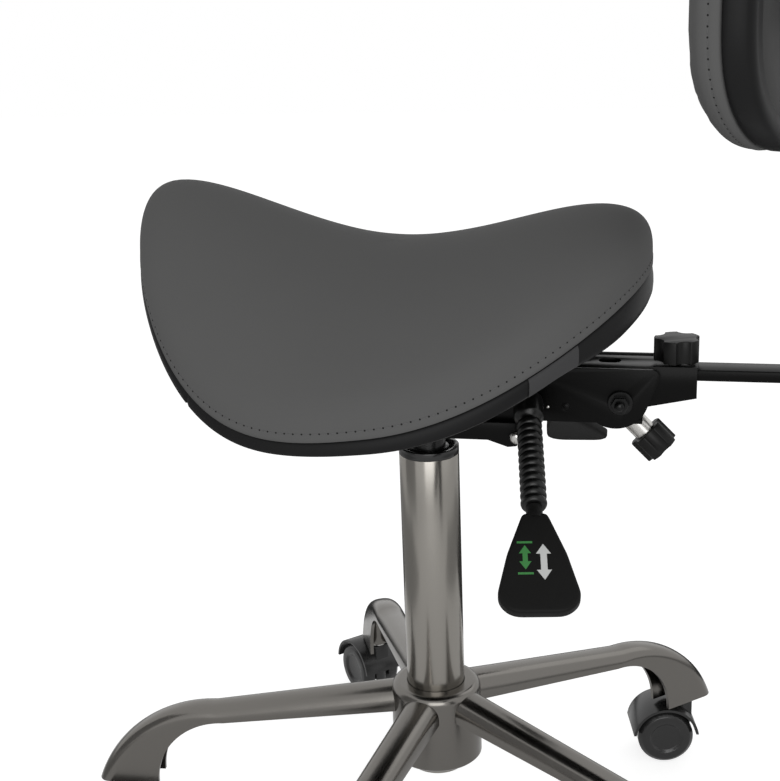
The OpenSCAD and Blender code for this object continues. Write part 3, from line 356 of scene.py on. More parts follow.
def cast_arm(heading):
    """One arm: a channel with the casting's wall over its back and sides, open below."""
    rings = []
    for back, under in arm_stations():
        share = (back[0] - ARM_ROOT[0]) / (ARM_REACH - ARM_ROOT[0])
        half = ARM_HALF_WIDTHS[0] + (ARM_HALF_WIDTHS[1] - ARM_HALF_WIDTHS[0]) * share
        depth = math.dist(back, under)
        down = ((under[0] - back[0]) / depth, (under[1] - back[1]) / depth)
        corner = min(half, ARM_ROUND_SHARE * depth)
        outer = arch(half, depth, corner)
        inner = [(across, deep + ARM_WALL if deep < depth - NEARLY else deep)
                 for across, deep in arch(half - ARM_WALL, depth, corner - INNER_ROUND_SHARE * ARM_WALL)]
        rings.append([heading @ Vector((back[0] + down[0] * deep, across, back[1] + down[1] * deep))
                      for across, deep in outer + inner[::-1]])
    arm = rings_to_mesh("arm", rings)
    faced_outwards(arm.data, fill=True)
    return arm


polished_alloy = metal("polished_alloy", ALLOY_COLOUR, roughness=0.2, grain=45.0, depth=0.0002)
hub_outline = [(HUB_BORE, HUB_BOTTOM), (HUB_RADIUS - HUB_EASE, HUB_BOTTOM),
               (HUB_RADIUS, HUB_BOTTOM + HUB_EASE)]
hub_outline += [(HUB_RADIUS + HUB_ROUND * (math.cos(a) - 1.0), HUB_TOP + HUB_ROUND * (math.sin(a) - 1.0))
                for a in np.linspace(0, math.pi / 2, 9)]
hub_outline += [(HUB_BORE, HUB_TOP)]
socket_outline = [(SOCKET_BORE, SOCKET_BOTTOM), (SOCKET_RADIUS - SOCKET_EASE, SOCKET_BOTTOM),
                  (SOCKET_RADIUS, SOCKET_BOTTOM + SOCKET_EASE), (SOCKET_RADIUS, SOCKET_TOP),
                  (0.0, SOCKET_TOP), (0.0, SOCKET_CEILING), (SOCKET_BORE, SOCKET_CEILING)]
star = turned("star_base_polished", hub_outline, UPRIGHT, 96)
castings = []
for k in range(ARMS):
    heading = Matrix.Rotation(FIRST_ARM + k * 2 * math.pi / ARMS, 4, "Z")
    socket_place = heading @ Matrix.Translation((SOCKET_FAR, 0, 0)) @ UPRIGHT
    castings += [cast_arm(heading), turned("socket", socket_outline, socket_place, 32)]
joined(star, castings)
smooth_by_angle(star, math.radians(42))
dress(star, polished_alloy, "base")
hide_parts("star_base")


# The column
# A chromed steel tube pressed into the hub, with a black guide bush in its mouth. The chrome has
# the faint upright streaks of a drawn tube. The piston rod and its bearing are inside.
COLUMN_COLOUR = (0.3, 0.286, 0.262, 1.0)
STEEL_COLOUR = (0.55, 0.54, 0.52, 1.0)
SHARP_FROM = math.radians(28)
SAME_POINT = 0.00001
FLAT_WITHIN = math.radians(0.6)
PLASTIC_MOTTLE = 0.12
BROAD_TO_FINE = 40.0


def applied(piece):
    """The piece with its modifiers made into its mesh."""
    graph = bpy.context.evaluated_depsgraph_get()
    mesh = bpy.data.meshes.new_from_object(piece.evaluated_get(graph))
    piece.modifiers.clear()
    piece.data = mesh
    return piece


def softened(node, name, edge):
    """A copy of a CAD node with its sharp edges rounded, which stands for the node."""
    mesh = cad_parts[node].data.copy()
    mesh.materials.clear()
    form = bmesh.new()
    form.from_mesh(mesh)
    bmesh.ops.remove_doubles(form, verts=form.verts, dist=SAME_POINT)
    bmesh.ops.dissolve_limit(form, angle_limit=FLAT_WITHIN, verts=form.verts, edges=form.edges)
    form.to_mesh(mesh)
    form.free()
    piece = link_new(name, mesh)
    bevel = piece.modifiers.new("edge", "BEVEL")
    bevel.width = edge
    bevel.segments = 2
    bevel.limit_method = "ANGLE"
    bevel.angle_limit = SHARP_FROM
    bevel.use_clamp_overlap = True
    applied(piece)
    smooth_by_angle(piece, math.radians(40))
    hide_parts(node)
    return piece


def dress_node(node, material):
    """A finish for a node that stays as it is."""
    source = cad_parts[node]
    source.data.materials.clear()
    source.data.materials.append(material)


def uneven_tone(nodes, links, shader, texture, colour, darkest, lightest):
    """A colour that goes between two shares of itself with a texture's value."""
    tone = nodes.new("ShaderNodeMix")
    tone.data_type = "RGBA"
    tone.inputs["A"].default_value = tuple(c * darkest for c in colour[:3]) + (1.0,)
    tone.inputs["B"].default_value = tuple(c * lightest for c in colour[:3]) + (1.0,)
    links.new(texture, tone.inputs["Factor"])
    links.new(tone.outputs["Result"], shader.inputs["Base Color"])


def plastic(name, colour, roughness, grain, depth, specular=0.5, density=1.5):
    """Moulded plastic, powder coat or rubber: a fine skin with an uneven gloss."""
    material, nodes, links, shader = new_material(name)
    shader.inputs["IOR"].default_value = density
    shader.inputs["Specular IOR Level"].default_value = specular
    place = nodes.new("ShaderNodeTexCoord")
    fine = noise(nodes, links, place.outputs["Object"], grain, 2.0)
    broad = noise(nodes, links, place.outputs["Object"], grain / BROAD_TO_FINE, 3.0)
    uneven_tone(nodes, links, shader, broad, colour, 1.0 - PLASTIC_MOTTLE, 1.0 + PLASTIC_MOTTLE)
    uneven_gloss(nodes, links, shader, broad, roughness * 0.85, roughness * 1.15)
    raised_grain(nodes, links, shader, fine, 0.5, depth)
    return material


column_chrome = metal("column_chrome", COLUMN_COLOUR, roughness=0.19, grain=60.0, depth=0.00012,
                      streak=(1.0, 1.0, 0.06))
bright_steel = metal("bright_steel", STEEL_COLOUR, roughness=0.26, grain=300.0, depth=0.00005)
column = softened("column_tube", "column_tube_chromed", 0.0006)
dress(column, column_chrome, "base")
for node in ("thrust_bearing", "piston_rod", "rod_clip", "release_button", "tension_sleeve", "lift_rod",
             "tilt_rod", "recline_rod", "tilt_pin", "seat_screws", "back_hinge_pin",
             *("castor_stem_%d" % n for n in range(1, ARMS + 1))):
    dress_node(node, bright_steel)
black_plastic = plastic("black_plastic", (0.0052, 0.0052, 0.005, 1.0), roughness=0.42, grain=900.0,
                        depth=0.00012, specular=0.2)
bush_nylon = plastic("bush_nylon", (0.006, 0.006, 0.006, 1.0), roughness=0.2, grain=900.0, depth=0.00005,
                     specular=0.6)
bush = softened("guide_bush", "guide_bush_moulded", 0.0005)
dress(bush, bush_nylon, "base")


# The mechanism
# Pressed and welded steel in black powder coat: the channel with its round lobe, the cast housing
# under it, the pivot bolt and the gas cylinder, whose black enamel is smoother than the powder.
PIVOT = (0.158, 0.4345)
WALL_FACE = 0.0250
HOUSING_FACE = 0.0310
BOLT_RADIUS, BOLT_END_SUNK = 0.0050, 0.002
WASHER_RADIUS, WASHER_GAP, WASHER_EASE = 0.0097, 0.0003, 0.0005
WASHER_TOP = WALL_FACE + 0.0023
STUD_RADIUS, STUD_DOME, STUD_DOME_FROM = 0.0040, 0.0030, 0.2
STUD_END = WALL_FACE + 0.0108
NUT_BORE, NUT_RADIUS, NUT_EASE, NUT_CHAMFER = 0.0038, 0.0073, 0.0005, (0.0007, 0.0008)
NUT_TOP = WALL_FACE + 0.0084
RIVET_PLACE, RIVET_SUNK = (0.1159, 0.4294), 0.0001
PIN_PLACE = (0.1018, 0.4295)
SCREW_PLACE, SCREW_SUNK, SCREW_TAPER = (0.0772, 0.405), 0.001, 0.0002
SCREW_RADIUS, SCREW_RISE, SCREW_DOME, SCREW_DOME_FROM = 0.0054, 0.0006, 0.0034, 0.15

powder_coat = plastic("powder_coat", (0.0016, 0.0016, 0.0015, 1.0), roughness=0.36, grain=700.0,
                      depth=0.0001, specular=0.1)
enamel = plastic("enamel", (0.007, 0.007, 0.007, 1.0), roughness=0.2, grain=500.0, depth=0.00002,
                 specular=0.3)
for node, body, edge, material in (
        ("gas_cylinder", "support", 0.0008, enamel), ("mech_housing", "support", 0.0015, powder_coat),
        ("mech_channel", "support", 0.0007, powder_coat), ("bar_carrier", "carrier", 0.0008, powder_coat),
        ("seat_bracket", "seat", 0.0007, powder_coat), ("back_bar", "bar", 0.0012, powder_coat),
        ("back_plate", "back", 0.0008, powder_coat)):
    dress(softened(node, node + "_coated", edge), material, body)
for node, body, edge in (
        ("tension_knob", "tension", 0.0012), ("depth_knob", "depth_clamp", 0.0012),
        ("height_knob", "height_clamp", 0.0012), ("back_slider", "slider", 0.0018),
        ("bar_cap", "bar", 0.001)):
    dress(softened(node, node + "_moulded", edge), black_plastic, body)


def facing(along_x, height, side, from_axis=0.0):
    """Places a turned form with its axis across the mechanism, its far end away from the middle."""
    place = Matrix.Translation((along_x, side * from_axis, height))
    return place @ Matrix.Rotation(side * math.pi / 2, 4, "Z")


bolt_end = [(0.0, WALL_FACE - BOLT_END_SUNK), (BOLT_RADIUS, WALL_FACE - BOLT_END_SUNK),
            (BOLT_RADIUS, WALL_FACE + WASHER_GAP),
            (WASHER_RADIUS - WASHER_EASE, WALL_FACE + WASHER_GAP),
            (WASHER_RADIUS, WALL_FACE + WASHER_GAP + WASHER_EASE), (WASHER_RADIUS, WASHER_TOP - WASHER_EASE),
            (WASHER_RADIUS - WASHER_EASE, WASHER_TOP), (STUD_RADIUS, WASHER_TOP), (STUD_RADIUS, STUD_END)]
bolt_end += [(STUD_RADIUS * math.cos(a), STUD_END + STUD_DOME * math.sin(a))
             for a in np.linspace(STUD_DOME_FROM, math.pi / 2, 7)]
nut = [(NUT_BORE, WASHER_TOP), (NUT_RADIUS - NUT_EASE, WASHER_TOP), (NUT_RADIUS, WASHER_TOP + NUT_EASE),
       (NUT_RADIUS, NUT_TOP - NUT_CHAMFER[1]), (NUT_RADIUS - NUT_CHAMFER[0], NUT_TOP), (NUT_BORE, NUT_TOP)]
shank = [(0.0, -WALL_FACE), (BOLT_RADIUS, -WALL_FACE), (BOLT_RADIUS, WALL_FACE), (0.0, WALL_FACE)]
bolt = turned("pivot_bolt_coated", shank, facing(*PIVOT, 1))
joined(bolt, [turned("bolt_end", outline, facing(*PIVOT, side), count)
              for side in (-1, 1) for outline, count in ((bolt_end, 40), (nut, 6))])
smooth_by_angle(bolt, math.radians(35))
bolt_black = plastic("bolt_black", (0.0025, 0.0025, 0.0025, 1.0), roughness=0.27, grain=500.0, depth=0.00003,
                     specular=0.22)
dress(bolt, bolt_black, "support")
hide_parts("pivot_bolt")

rivet = [(0.0, 0.0), (0.0036, 0.0), (0.0036, 0.0003), (0.0030, 0.0006), (0.0026, 0.0004), (0.0022, 0.0006),
         (0.0, 0.0008)]
pin_end = [(0.0, -0.001), (0.0013, -0.001), (0.0013, 0.0004), (0.0009, 0.0009), (0.0, 0.0011)]
for side, word in ((-1, "near"), (1, "far")):
    head = turned("wall_rivet_" + word, rivet, facing(*RIVET_PLACE, side, WALL_FACE - RIVET_SUNK), 32)
    dress(head, powder_coat, "support")
    pin = turned("wall_pin_" + word, pin_end, facing(*PIN_PLACE, side, WALL_FACE), 24)
    dress(pin, bright_steel, "support")

dome = [(0.0, -SCREW_SUNK), (SCREW_RADIUS - SCREW_TAPER, -SCREW_SUNK), (SCREW_RADIUS, SCREW_RISE)]
dome += [(SCREW_RADIUS * math.cos(a), SCREW_RISE + SCREW_DOME * math.sin(a))
         for a in np.linspace(SCREW_DOME_FROM, math.pi / 2, 9)]
for side, word in ((-1, "near"), (1, "far")):
    screw = turned("housing_screw_" + word, dome, facing(*SCREW_PLACE, side, HOUSING_FACE), 32)
    dress(screw, bright_steel, "support")


# The levers
# Each steel rod runs in a ribbed rubber boot with a smooth collar at the mechanism, and carries a flat
# moulded paddle whose end is dished a little. Printed arrows tell which way the height lever moves.
SHAFT_HEIGHT = 0.447
SHAFT_SIDE = 0.016
LEVER_SKEW = math.radians(9.5)
# Each lever's name, place along the mechanism, side, and droop and roll in degrees.
LEVERS = (("lift", 0.084, -1, 29.4, 0.0), ("tilt", -0.0355, 1, 33.0, -5.0),
          ("recline", 0.0775, 1, 33.0, -5.0))
ROD_RADIUS = 0.004
COLLAR_FROM = 0.020
COLLAR_LENGTH = 0.024
COLLAR_RADIUS = 0.0118
COLLAR_MOUTH, MOUTH_STEPS = 0.002, 5
COLLAR_EASE, EASE_STEPS = 0.006, 12
BOOT_END = 0.127
RIB_COUNT = 12
RIB_RADIUS = 0.00985
RIB_DEPTH = 0.0019
RIB_POWER = 0.62
STEPS_PER_RIB = 12
NECK_RADIUS = 0.0061
NECK_FROM = 0.1273
NECK_EASE = 0.0005
NECK_FLARE = (0.0014, 0.0004)
NECK_INTO_PADDLE = 0.004
PADDLE_TOP = 0.1353
LEVER_LENGTH = 0.222
PADDLE_CENTRE = 0.185
PADDLE_HALF_WIDTH = 0.02875
PADDLE_CORNER = 0.016
PADDLE_TOP_HALF_WIDTH = 0.0097
PADDLE_MID_SHARE = 0.43
PADDLE_MID_HALF_WIDTH = 0.0215
SMALL_CORNER = 0.0025
CORNER_POINTS, PADDLE_POINTS, PADDLE_SMOOTHINGS = 48, 160, 3
PADDLE_RIM_TOP, PADDLE_RIM_EASE = 0.0026, 0.0006
PADDLE_FACE = 0.0047
PADDLE_ROUND, ROUND_STEPS = 0.0026, 6
PADDLE_BACK = -0.0048
PADDLE_BACK_INSET, PADDLE_BACK_EASE, PADDLE_BACK_WALL = 0.0030, 0.0009, 0.0028
BACK_RING_SHARES, FACE_RING_SHARES = (0.6, 0.2), (0.85, 0.6, 0.3)
DISH_FROM = 0.197
DISH_LIFT, DISH_POWER = 0.0013, 1.6
PRINT_SUNK, PRINT_RISE = 0.00005, 0.00012
# An arrow's middle along and across the paddle, its length and width, and its head's and stem's size.
WHITE_ARROW = (0.1795, 0.0045, 0.031, 0.0105, 0.0085, 0.0046)
GREEN_ARROW = (0.1755, -0.0085, 0.021, 0.0085, 0.007, 0.0036)
BAR_PLACES, BAR_HALF_LENGTH, BAR_WIDTH = ((0.1615, -0.0085), (0.1885, -0.0085)), 0.0055, 0.0018


def lever_frame(along_x, side, droop, roll):
    """Places a lever: its own X runs out along the rod and its Z out of the paddle's face."""
    return (Matrix.Translation((along_x, side * SHAFT_SIDE, SHAFT_HEIGHT))
            @ Matrix.Rotation(side * (math.pi / 2 - LEVER_SKEW), 4, "Z")
            @ Matrix.Rotation(droop, 4, "Y") @ Matrix.Rotation(roll, 4, "X"))


def boot_outline():
    """Collar with a rounded mouth, a short flare, then full round ribs with sharp valleys."""
    first = COLLAR_FROM + COLLAR_LENGTH
    pitch = (BOOT_END - first) / RIB_COUNT
    mouth, valley = COLLAR_RADIUS - COLLAR_MOUTH, RIB_RADIUS - RIB_DEPTH
    outline = [(ROD_RADIUS, COLLAR_FROM), (mouth, COLLAR_FROM)]
    for k in range(1, MOUTH_STEPS + 1):
        angle = math.pi / 2 * k / MOUTH_STEPS
        outline.append((mouth + COLLAR_MOUTH * math.sin(angle),
                        COLLAR_FROM + COLLAR_MOUTH - COLLAR_MOUTH * math.cos(angle)))
    for k in range(EASE_STEPS + 1):
        share = k / EASE_STEPS
        ease = share * share * (3 - 2 * share)
        outline.append((COLLAR_RADIUS + (valley - COLLAR_RADIUS) * ease, first - COLLAR_EASE * (1.0 - share)))
    for k in range(1, RIB_COUNT * STEPS_PER_RIB + 1):
        share = (k / STEPS_PER_RIB) % 1.0
        swell = math.sin(math.pi * share) ** RIB_POWER
        outline.append((RIB_RADIUS - RIB_DEPTH * (1 - swell), first + pitch * k / STEPS_PER_RIB))
    outline.append((ROD_RADIUS, BOOT_END))
    return outline


def paddle_outline():
    """The pear outline, as even steps round the hull of its corner circles."""
    length = LEVER_LENGTH - PADDLE_TOP
    spots = []
    for centre, reach, radius in (
            (PADDLE_TOP + SMALL_CORNER, PADDLE_TOP_HALF_WIDTH - SMALL_CORNER, SMALL_CORNER),
            (PADDLE_TOP + PADDLE_MID_SHARE * length, PADDLE_MID_HALF_WIDTH - SMALL_CORNER, SMALL_CORNER),
            (LEVER_LENGTH - PADDLE_CORNER, PADDLE_HALF_WIDTH - PADDLE_CORNER, PADDLE_CORNER)):
        for side in (-1, 1):
            for k in range(CORNER_POINTS):
                angle = 2 * math.pi * k / CORNER_POINTS
                spots.append(Vector((centre + radius * math.cos(angle),
                                     side * reach + radius * math.sin(angle))))
    hull = [spots[k] for k in geometry.convex_hull_2d(spots)]
    loop = np.array([tuple(p) for p in hull] + [tuple(hull[0])])
    steps = np.concatenate([[0.0], np.cumsum(np.linalg.norm(np.diff(loop, axis=0), axis=1))])
    even = np.linspace(0.0, steps[-1], PADDLE_POINTS + 1)[:-1]
    loop = np.stack([np.interp(even, steps, loop[:, 0]), np.interp(even, steps, loop[:, 1])], axis=1)
    for smoothing in range(PADDLE_SMOOTHINGS):
        loop = (np.roll(loop, 1, axis=0) + 2 * loop + np.roll(loop, -1, axis=0)) / 4
    return loop


def dish(far):
    """How far the paddle rises towards its tip."""
    share = np.clip((far - DISH_FROM) / (LEVER_LENGTH - DISH_FROM), 0.0, 1.0)
    return DISH_LIFT * share ** DISH_POWER


def paddle(name, place):
    """The paddle with rounded edges, and the neck that holds it to the rod."""
    outline = paddle_outline()
    centre = np.array([PADDLE_CENTRE, 0.0])
    along = np.roll(outline, -1, axis=0) - np.roll(outline, 1, axis=0)
    inward = np.stack([-along[:, 1], along[:, 0]], axis=1)
    inward /= np.linalg.norm(inward, axis=1, keepdims=True)
    if np.sum(inward * (centre - outline)) < 0:
        inward = -inward
    sections = [(PADDLE_BACK_INSET, PADDLE_BACK), (PADDLE_BACK_EASE, PADDLE_BACK + PADDLE_BACK_EASE),
                (0.0, PADDLE_BACK + PADDLE_BACK_WALL), (0.0, PADDLE_RIM_TOP - PADDLE_RIM_EASE)]
    for k in range(ROUND_STEPS + 1):
        angle = math.pi / 2 * k / ROUND_STEPS
        sections.append((PADDLE_ROUND * (1 - math.cos(angle)),
                         PADDLE_RIM_TOP + (PADDLE_FACE - PADDLE_RIM_TOP) * math.sin(angle)))
    rings = []
    for inset, height in sections:
        ring = outline + inward * inset
        rings.append(np.column_stack([ring, height + dish(ring[:, 0])]))
    last = outline + inward * PADDLE_ROUND
    for share in FACE_RING_SHARES:
        ring = centre + (last - centre) * share
        rings.append(np.column_stack([ring, PADDLE_FACE + dish(ring[:, 0])]))
    first = outline + inward * PADDLE_BACK_INSET
    for share in BACK_RING_SHARES:
        ring = centre + (first - centre) * share
        rings.insert(0, np.column_stack([ring, PADDLE_BACK + dish(ring[:, 0])]))
    body = rings_to_mesh(name, rings, first=(*centre, PADDLE_BACK), last=(*centre, PADDLE_FACE))
    faced_outwards(body.data)
    neck = turned(name + "_neck", [
        (ROD_RADIUS, NECK_FROM), (NECK_RADIUS - NECK_EASE, NECK_FROM), (NECK_RADIUS, NECK_FROM + NECK_EASE),
        (NECK_RADIUS, PADDLE_TOP - NECK_FLARE[0]), (NECK_RADIUS + NECK_EASE, PADDLE_TOP - NECK_FLARE[1]),
        (NECK_RADIUS + NECK_EASE, PADDLE_TOP + NECK_INTO_PADDLE),
        (ROD_RADIUS, PADDLE_TOP + NECK_INTO_PADDLE)], Matrix.Identity(4))
    joined(body, [neck])
    body.data.transform(place)
    smooth_by_angle(body, math.radians(42))
    return body


def printed(name, outlines, place, material):
    """Thin printed marks on the paddle's face; each outline is convex, in the face's own plane."""
    points, faces = [], []
    for outline in outlines:
        start, count = len(points), len(outline)
        for height in (PADDLE_FACE - PRINT_SUNK, PADDLE_FACE + PRINT_RISE):
            points += [place @ Vector((far, across, height + float(dish(far)))) for far, across in outline]
        faces.append(tuple(start + count + k for k in range(count)))
        faces.append(tuple(start + k for k in reversed(range(count))))
        faces += [(start + k, start + (k + 1) % count, start + count + (k + 1) % count, start + count + k)
                  for k in range(count)]
    mesh = bpy.data.meshes.new(name)
    mesh.from_pydata(points, [], faces)
    mesh.validate()
    faced_outwards(mesh)
    dress(link_new(name, mesh), material, "lift_lever")


def double_arrow(far, across, length, width, head, stem):
    """Outlines of an arrow with a head at each end, along the lever."""
    tip, neck = length / 2, length / 2 - head
    return [[(far - tip, across), (far - neck, across - width / 2), (far - neck, across + width / 2)],
            [(far + tip, across), (far + neck, across + width / 2), (far + neck, across - width / 2)],
            [(far - neck, across - stem / 2), (far + neck, across - stem / 2),
             (far + neck, across + stem / 2), (far - neck, across + stem / 2)]]


def print_bar(far, across):
    return [(far, across - BAR_HALF_LENGTH), (far, across + BAR_HALF_LENGTH),
            (far + BAR_WIDTH, across + BAR_HALF_LENGTH), (far + BAR_WIDTH, across - BAR_HALF_LENGTH)]


boot_rubber = plastic("boot_rubber", (0.0034, 0.0034, 0.0033, 1.0), roughness=0.3, grain=600.0, depth=0.00005,
                      specular=0.34)
paddle_plastic = plastic("paddle_plastic", (0.0082, 0.0082, 0.008, 1.0), roughness=0.48, grain=1400.0,
                         depth=0.0002, specular=0.4, density=1.2)
white_print = plastic("white_print", (0.55, 0.56, 0.55, 1.0), roughness=0.5, grain=900.0, depth=0.00002)
green_print = plastic("green_print", (0.035, 0.20, 0.045, 1.0), roughness=0.5, grain=900.0, depth=0.00002)
for lever, along_x, side, droop, roll in LEVERS:
    place = lever_frame(along_x, side, math.radians(droop), math.radians(roll))
    boot_place = lever_frame(along_x, side, math.radians(droop), 0.0)
    boot = turned(lever + "_boot_rubber", boot_outline(), boot_place)
    dress(boot, boot_rubber, lever + "_lever")
    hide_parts(lever + "_boot")
    handle = paddle(lever + "_paddle_moulded", place)
    dress(handle, paddle_plastic, lever + "_lever")
    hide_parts(lever + "_paddle")
    if lever == "lift":
        printed("lift_arrow_white", double_arrow(*WHITE_ARROW), place, white_print)
        printed("lift_arrow_green", double_arrow(*GREEN_ARROW), place, green_print)
        printed("lift_bars_green", [print_bar(*spot) for spot in BAR_PLACES], place, green_print)


# The castors
# Twin wheels of glossy black plastic either side of a hood with a guard, on a steel stem.
wheel_plastic = plastic("wheel_plastic", (0.011, 0.011, 0.011, 1.0), roughness=0.26, grain=400.0,
                        depth=0.00003)
for n in range(1, ARMS + 1):
    hood = softened("castor_hood_%d" % n, "castor_hood_%d_moulded" % n, 0.0012)
    dress(hood, wheel_plastic, "castor_%d" % n)
    wheels = softened("castor_wheels_%d" % n, "castor_wheels_%d_moulded" % n, 0.0006)
    dress(wheels, wheel_plastic, "wheels_%d" % n)


# The saddle seat
# Foam on a moulded pan, under a grey artificial leather panel that is drawn tight and sewn to a
# black side band. The foam rises at both ends and falls away at the flaps.
SEAT_LENGTH = 0.403
SEAT_WIDTH = 0.362
SEAT_AHEAD = 0.0215
EDGE_HEIGHT = 0.5125
FRONT_RISE = 0.0673
REAR_RISE = 0.0267
FLAP_DROP = 0.0617
PADDING = 0.0445
FRONT_RUN = 0.645 * SEAT_LENGTH
REAR_RUN = 0.468 * SEAT_LENGTH
DIP_AHEAD = SEAT_AHEAD - 0.0124
FRONT_FADE, REAR_FADE = 1.169, 0.516
DROP_TAPER, FLAP_POWER = -0.247, 1.836
FRONT_ROUND, REAR_ROUND, FRONT_WIDEN = 0.947, 0.933, -0.049
CROWN_POWER, CROWN_EDGE_POWER = 3.239, 3.805
PADDING_SLOPE, PADDING_ENDS = 0.133, 0.27
BAND_HEIGHT = 0.0124
SEAM_UNDER = 0.0016
LEATHER_BROAD_GRAIN = 14.0
TURNS = 720
# Rings of a panel from its middle to its edge, close together where the stitches are, and the fewer
# rings and steps that the foam's pressure is worked out on.
RING_SHARES = [*np.linspace(0.02, 0.9, 40), *(1 - 0.1 * (1 - np.linspace(0, 1, 40)[1:]) ** 2.4)]
COARSE_SHARES = np.linspace(0.04, 1.0, 26)
COARSE_STEP = 6
FOAM_PRESSURE = 4.0
PRESS_STEPS = 20
PRESS_EVENED_SHARE = 0.6
SEAT_PLUMP_MOST = 0.0011
EDGE_HELD = 0.03
STITCH_INSET, STITCH_PITCH = 0.0063, 0.0066
STITCH_GROOVE, GROOVE_WIDTH = 0.00035, 0.0010
SEAM_ROLL, ROLL_WIDTH = 0.0003, 0.0021
DIP_SHARE, DIP_BEYOND, DIP_WIDTH = 0.35, 0.004, 0.0035
LIP_POINTS = ((0.0004, 0.0006), (0.0018, 0.0009), (0.006, 0.0012), (0.02, 0.002))


def swung(value, power):
    return np.sign(value) * np.abs(value) ** power


def edge_line_height(x, y):
    """Height of the padding's edge line at a place."""
    away = x + DIP_AHEAD
    front = FRONT_RISE * (1 - np.cos(math.pi * np.minimum(np.maximum(-away, 0) / FRONT_RUN, 1))) / 2
    rear = REAR_RISE * (1 - np.cos(math.pi * np.minimum(np.maximum(away, 0) / REAR_RUN, 1))) / 2
    side = np.abs(y) / (SEAT_WIDTH / 2)
    along = (x + SEAT_AHEAD) / (SEAT_LENGTH / 2)
    fade = np.where(away < 0, FRONT_FADE, REAR_FADE)
    lift = (front + rear) * (1 - fade * np.minimum(side, 1) ** 2)
    return EDGE_HEIGHT + lift - FLAP_DROP * (1 + DROP_TAPER * along) * side ** FLAP_POWER


def seat_outline(turn, inset=0.0, reach=1.0):
    """Plan of the outline drawn in by inset, at a share of its reach."""
    c, s = np.cos(turn), np.sin(turn)
    round_share = np.where(c > 0, REAR_ROUND, FRONT_ROUND)
    along = swung(c, round_share) * reach
    across = swung(s, round_share) * reach * (1 + FRONT_WIDEN * along)
    return (SEAT_LENGTH / 2 - inset) * along - SEAT_AHEAD, (SEAT_WIDTH / 2 - inset) * across


def seat_ring(turn, inset, drop):
    x, y = seat_outline(turn, inset)
    return np.stack([x, y, edge_line_height(x, y) - drop], axis=1)


def crown_ring(turn, reach):
    x, y = seat_outline(turn, 0.0, reach)
    along = (x + SEAT_AHEAD) / (SEAT_LENGTH / 2)
    thick = PADDING * (1 + PADDING_SLOPE * along + PADDING_ENDS * along ** 2)
    swell = max(1 - reach ** CROWN_POWER, 0.0) ** (1 / CROWN_EDGE_POWER)
    return np.stack([x, y, edge_line_height(x, y) + thick * swell], axis=1)


def leather(name, colour, roughness, mottle, grain=1500.0, depth=0.00012, specular=0.4, density=1.5):
    """Artificial leather: a fine pebbled skin with faint broad changes of tone and gloss."""
    material, nodes, links, shader = new_material(name)
    shader.inputs["IOR"].default_value = density
    shader.inputs["Specular IOR Level"].default_value = specular
    place = nodes.new("ShaderNodeTexCoord")
    pebbles = nodes.new("ShaderNodeTexVoronoi")
    pebbles.inputs["Scale"].default_value = grain
    links.new(place.outputs["Object"], pebbles.inputs["Vector"])
    broad = noise(nodes, links, place.outputs["Object"], LEATHER_BROAD_GRAIN, 4.0)
    uneven_tone(nodes, links, shader, broad, colour, 1.0 - mottle, 1.0 + mottle)
    uneven_gloss(nodes, links, shader, broad, roughness * 0.92, roughness * 1.08)
    raised_grain(nodes, links, shader, pebbles.outputs["Distance"], 0.3, depth)
    return material


def plumped(name, rings, centre, most):
    """How far each point of a panel swells where the foam presses under it, with its edge held."""
    skin = rings_to_mesh(name, rings, first=centre)
    count = len(rings[0])
    held = skin.vertex_groups.new(name="sewn_edge")
    held.add(list(range((len(rings) - 2) * count, len(rings) * count)), 1.0, "REPLACE")
    normals = np.zeros(len(skin.data.vertices) * 3)
    skin.data.vertices.foreach_get("normal", normals)
    cloth = skin.modifiers.new("cloth", "CLOTH")
    cloth.settings.use_pressure = True
    cloth.settings.uniform_pressure_force = FOAM_PRESSURE
    cloth.settings.vertex_group_mass = "sewn_edge"
    cloth.settings.tension_stiffness = 30.0
    cloth.settings.compression_stiffness = 30.0
    cloth.settings.bending_stiffness = 2.0
    cloth.settings.effector_weights.gravity = 0.0
    cloth.point_cache.frame_end = PRESS_STEPS
    for step in range(1, PRESS_STEPS + 1):
        bpy.context.scene.frame_set(step)
    graph = bpy.context.evaluated_depsgraph_get()
    swollen = bpy.data.meshes.new_from_object(skin.evaluated_get(graph))
    before = np.array([tuple(v.co) for v in skin.data.vertices])
    after = np.array([tuple(v.co) for v in swollen.vertices])
    outward = ((after - before) * normals.reshape(-1, 3)).sum(axis=1)
    bpy.context.scene.frame_set(1)
    bpy.data.objects.remove(skin)
    swell = outward[:len(rings) * count].reshape(len(rings), count)
    swell = swell - swell.mean() * PRESS_EVENED_SHARE
    return most * np.tanh(swell / most)


def ring_normals(grid):
    along = np.roll(grid, -1, axis=1) - np.roll(grid, 1, axis=1)
    across = np.gradient(grid, axis=0)
    normal = np.cross(along, across)
    return normal / np.maximum(np.linalg.norm(normal, axis=2, keepdims=True), 1e-12)


def edge_distance(grid):
    """Distance of each ring's points from the panel's edge, over the surface."""
    steps = np.linalg.norm(np.diff(grid[::-1], axis=0), axis=2)
    return np.concatenate([np.zeros((1, grid.shape[1])), np.cumsum(steps, axis=0)])[::-1]


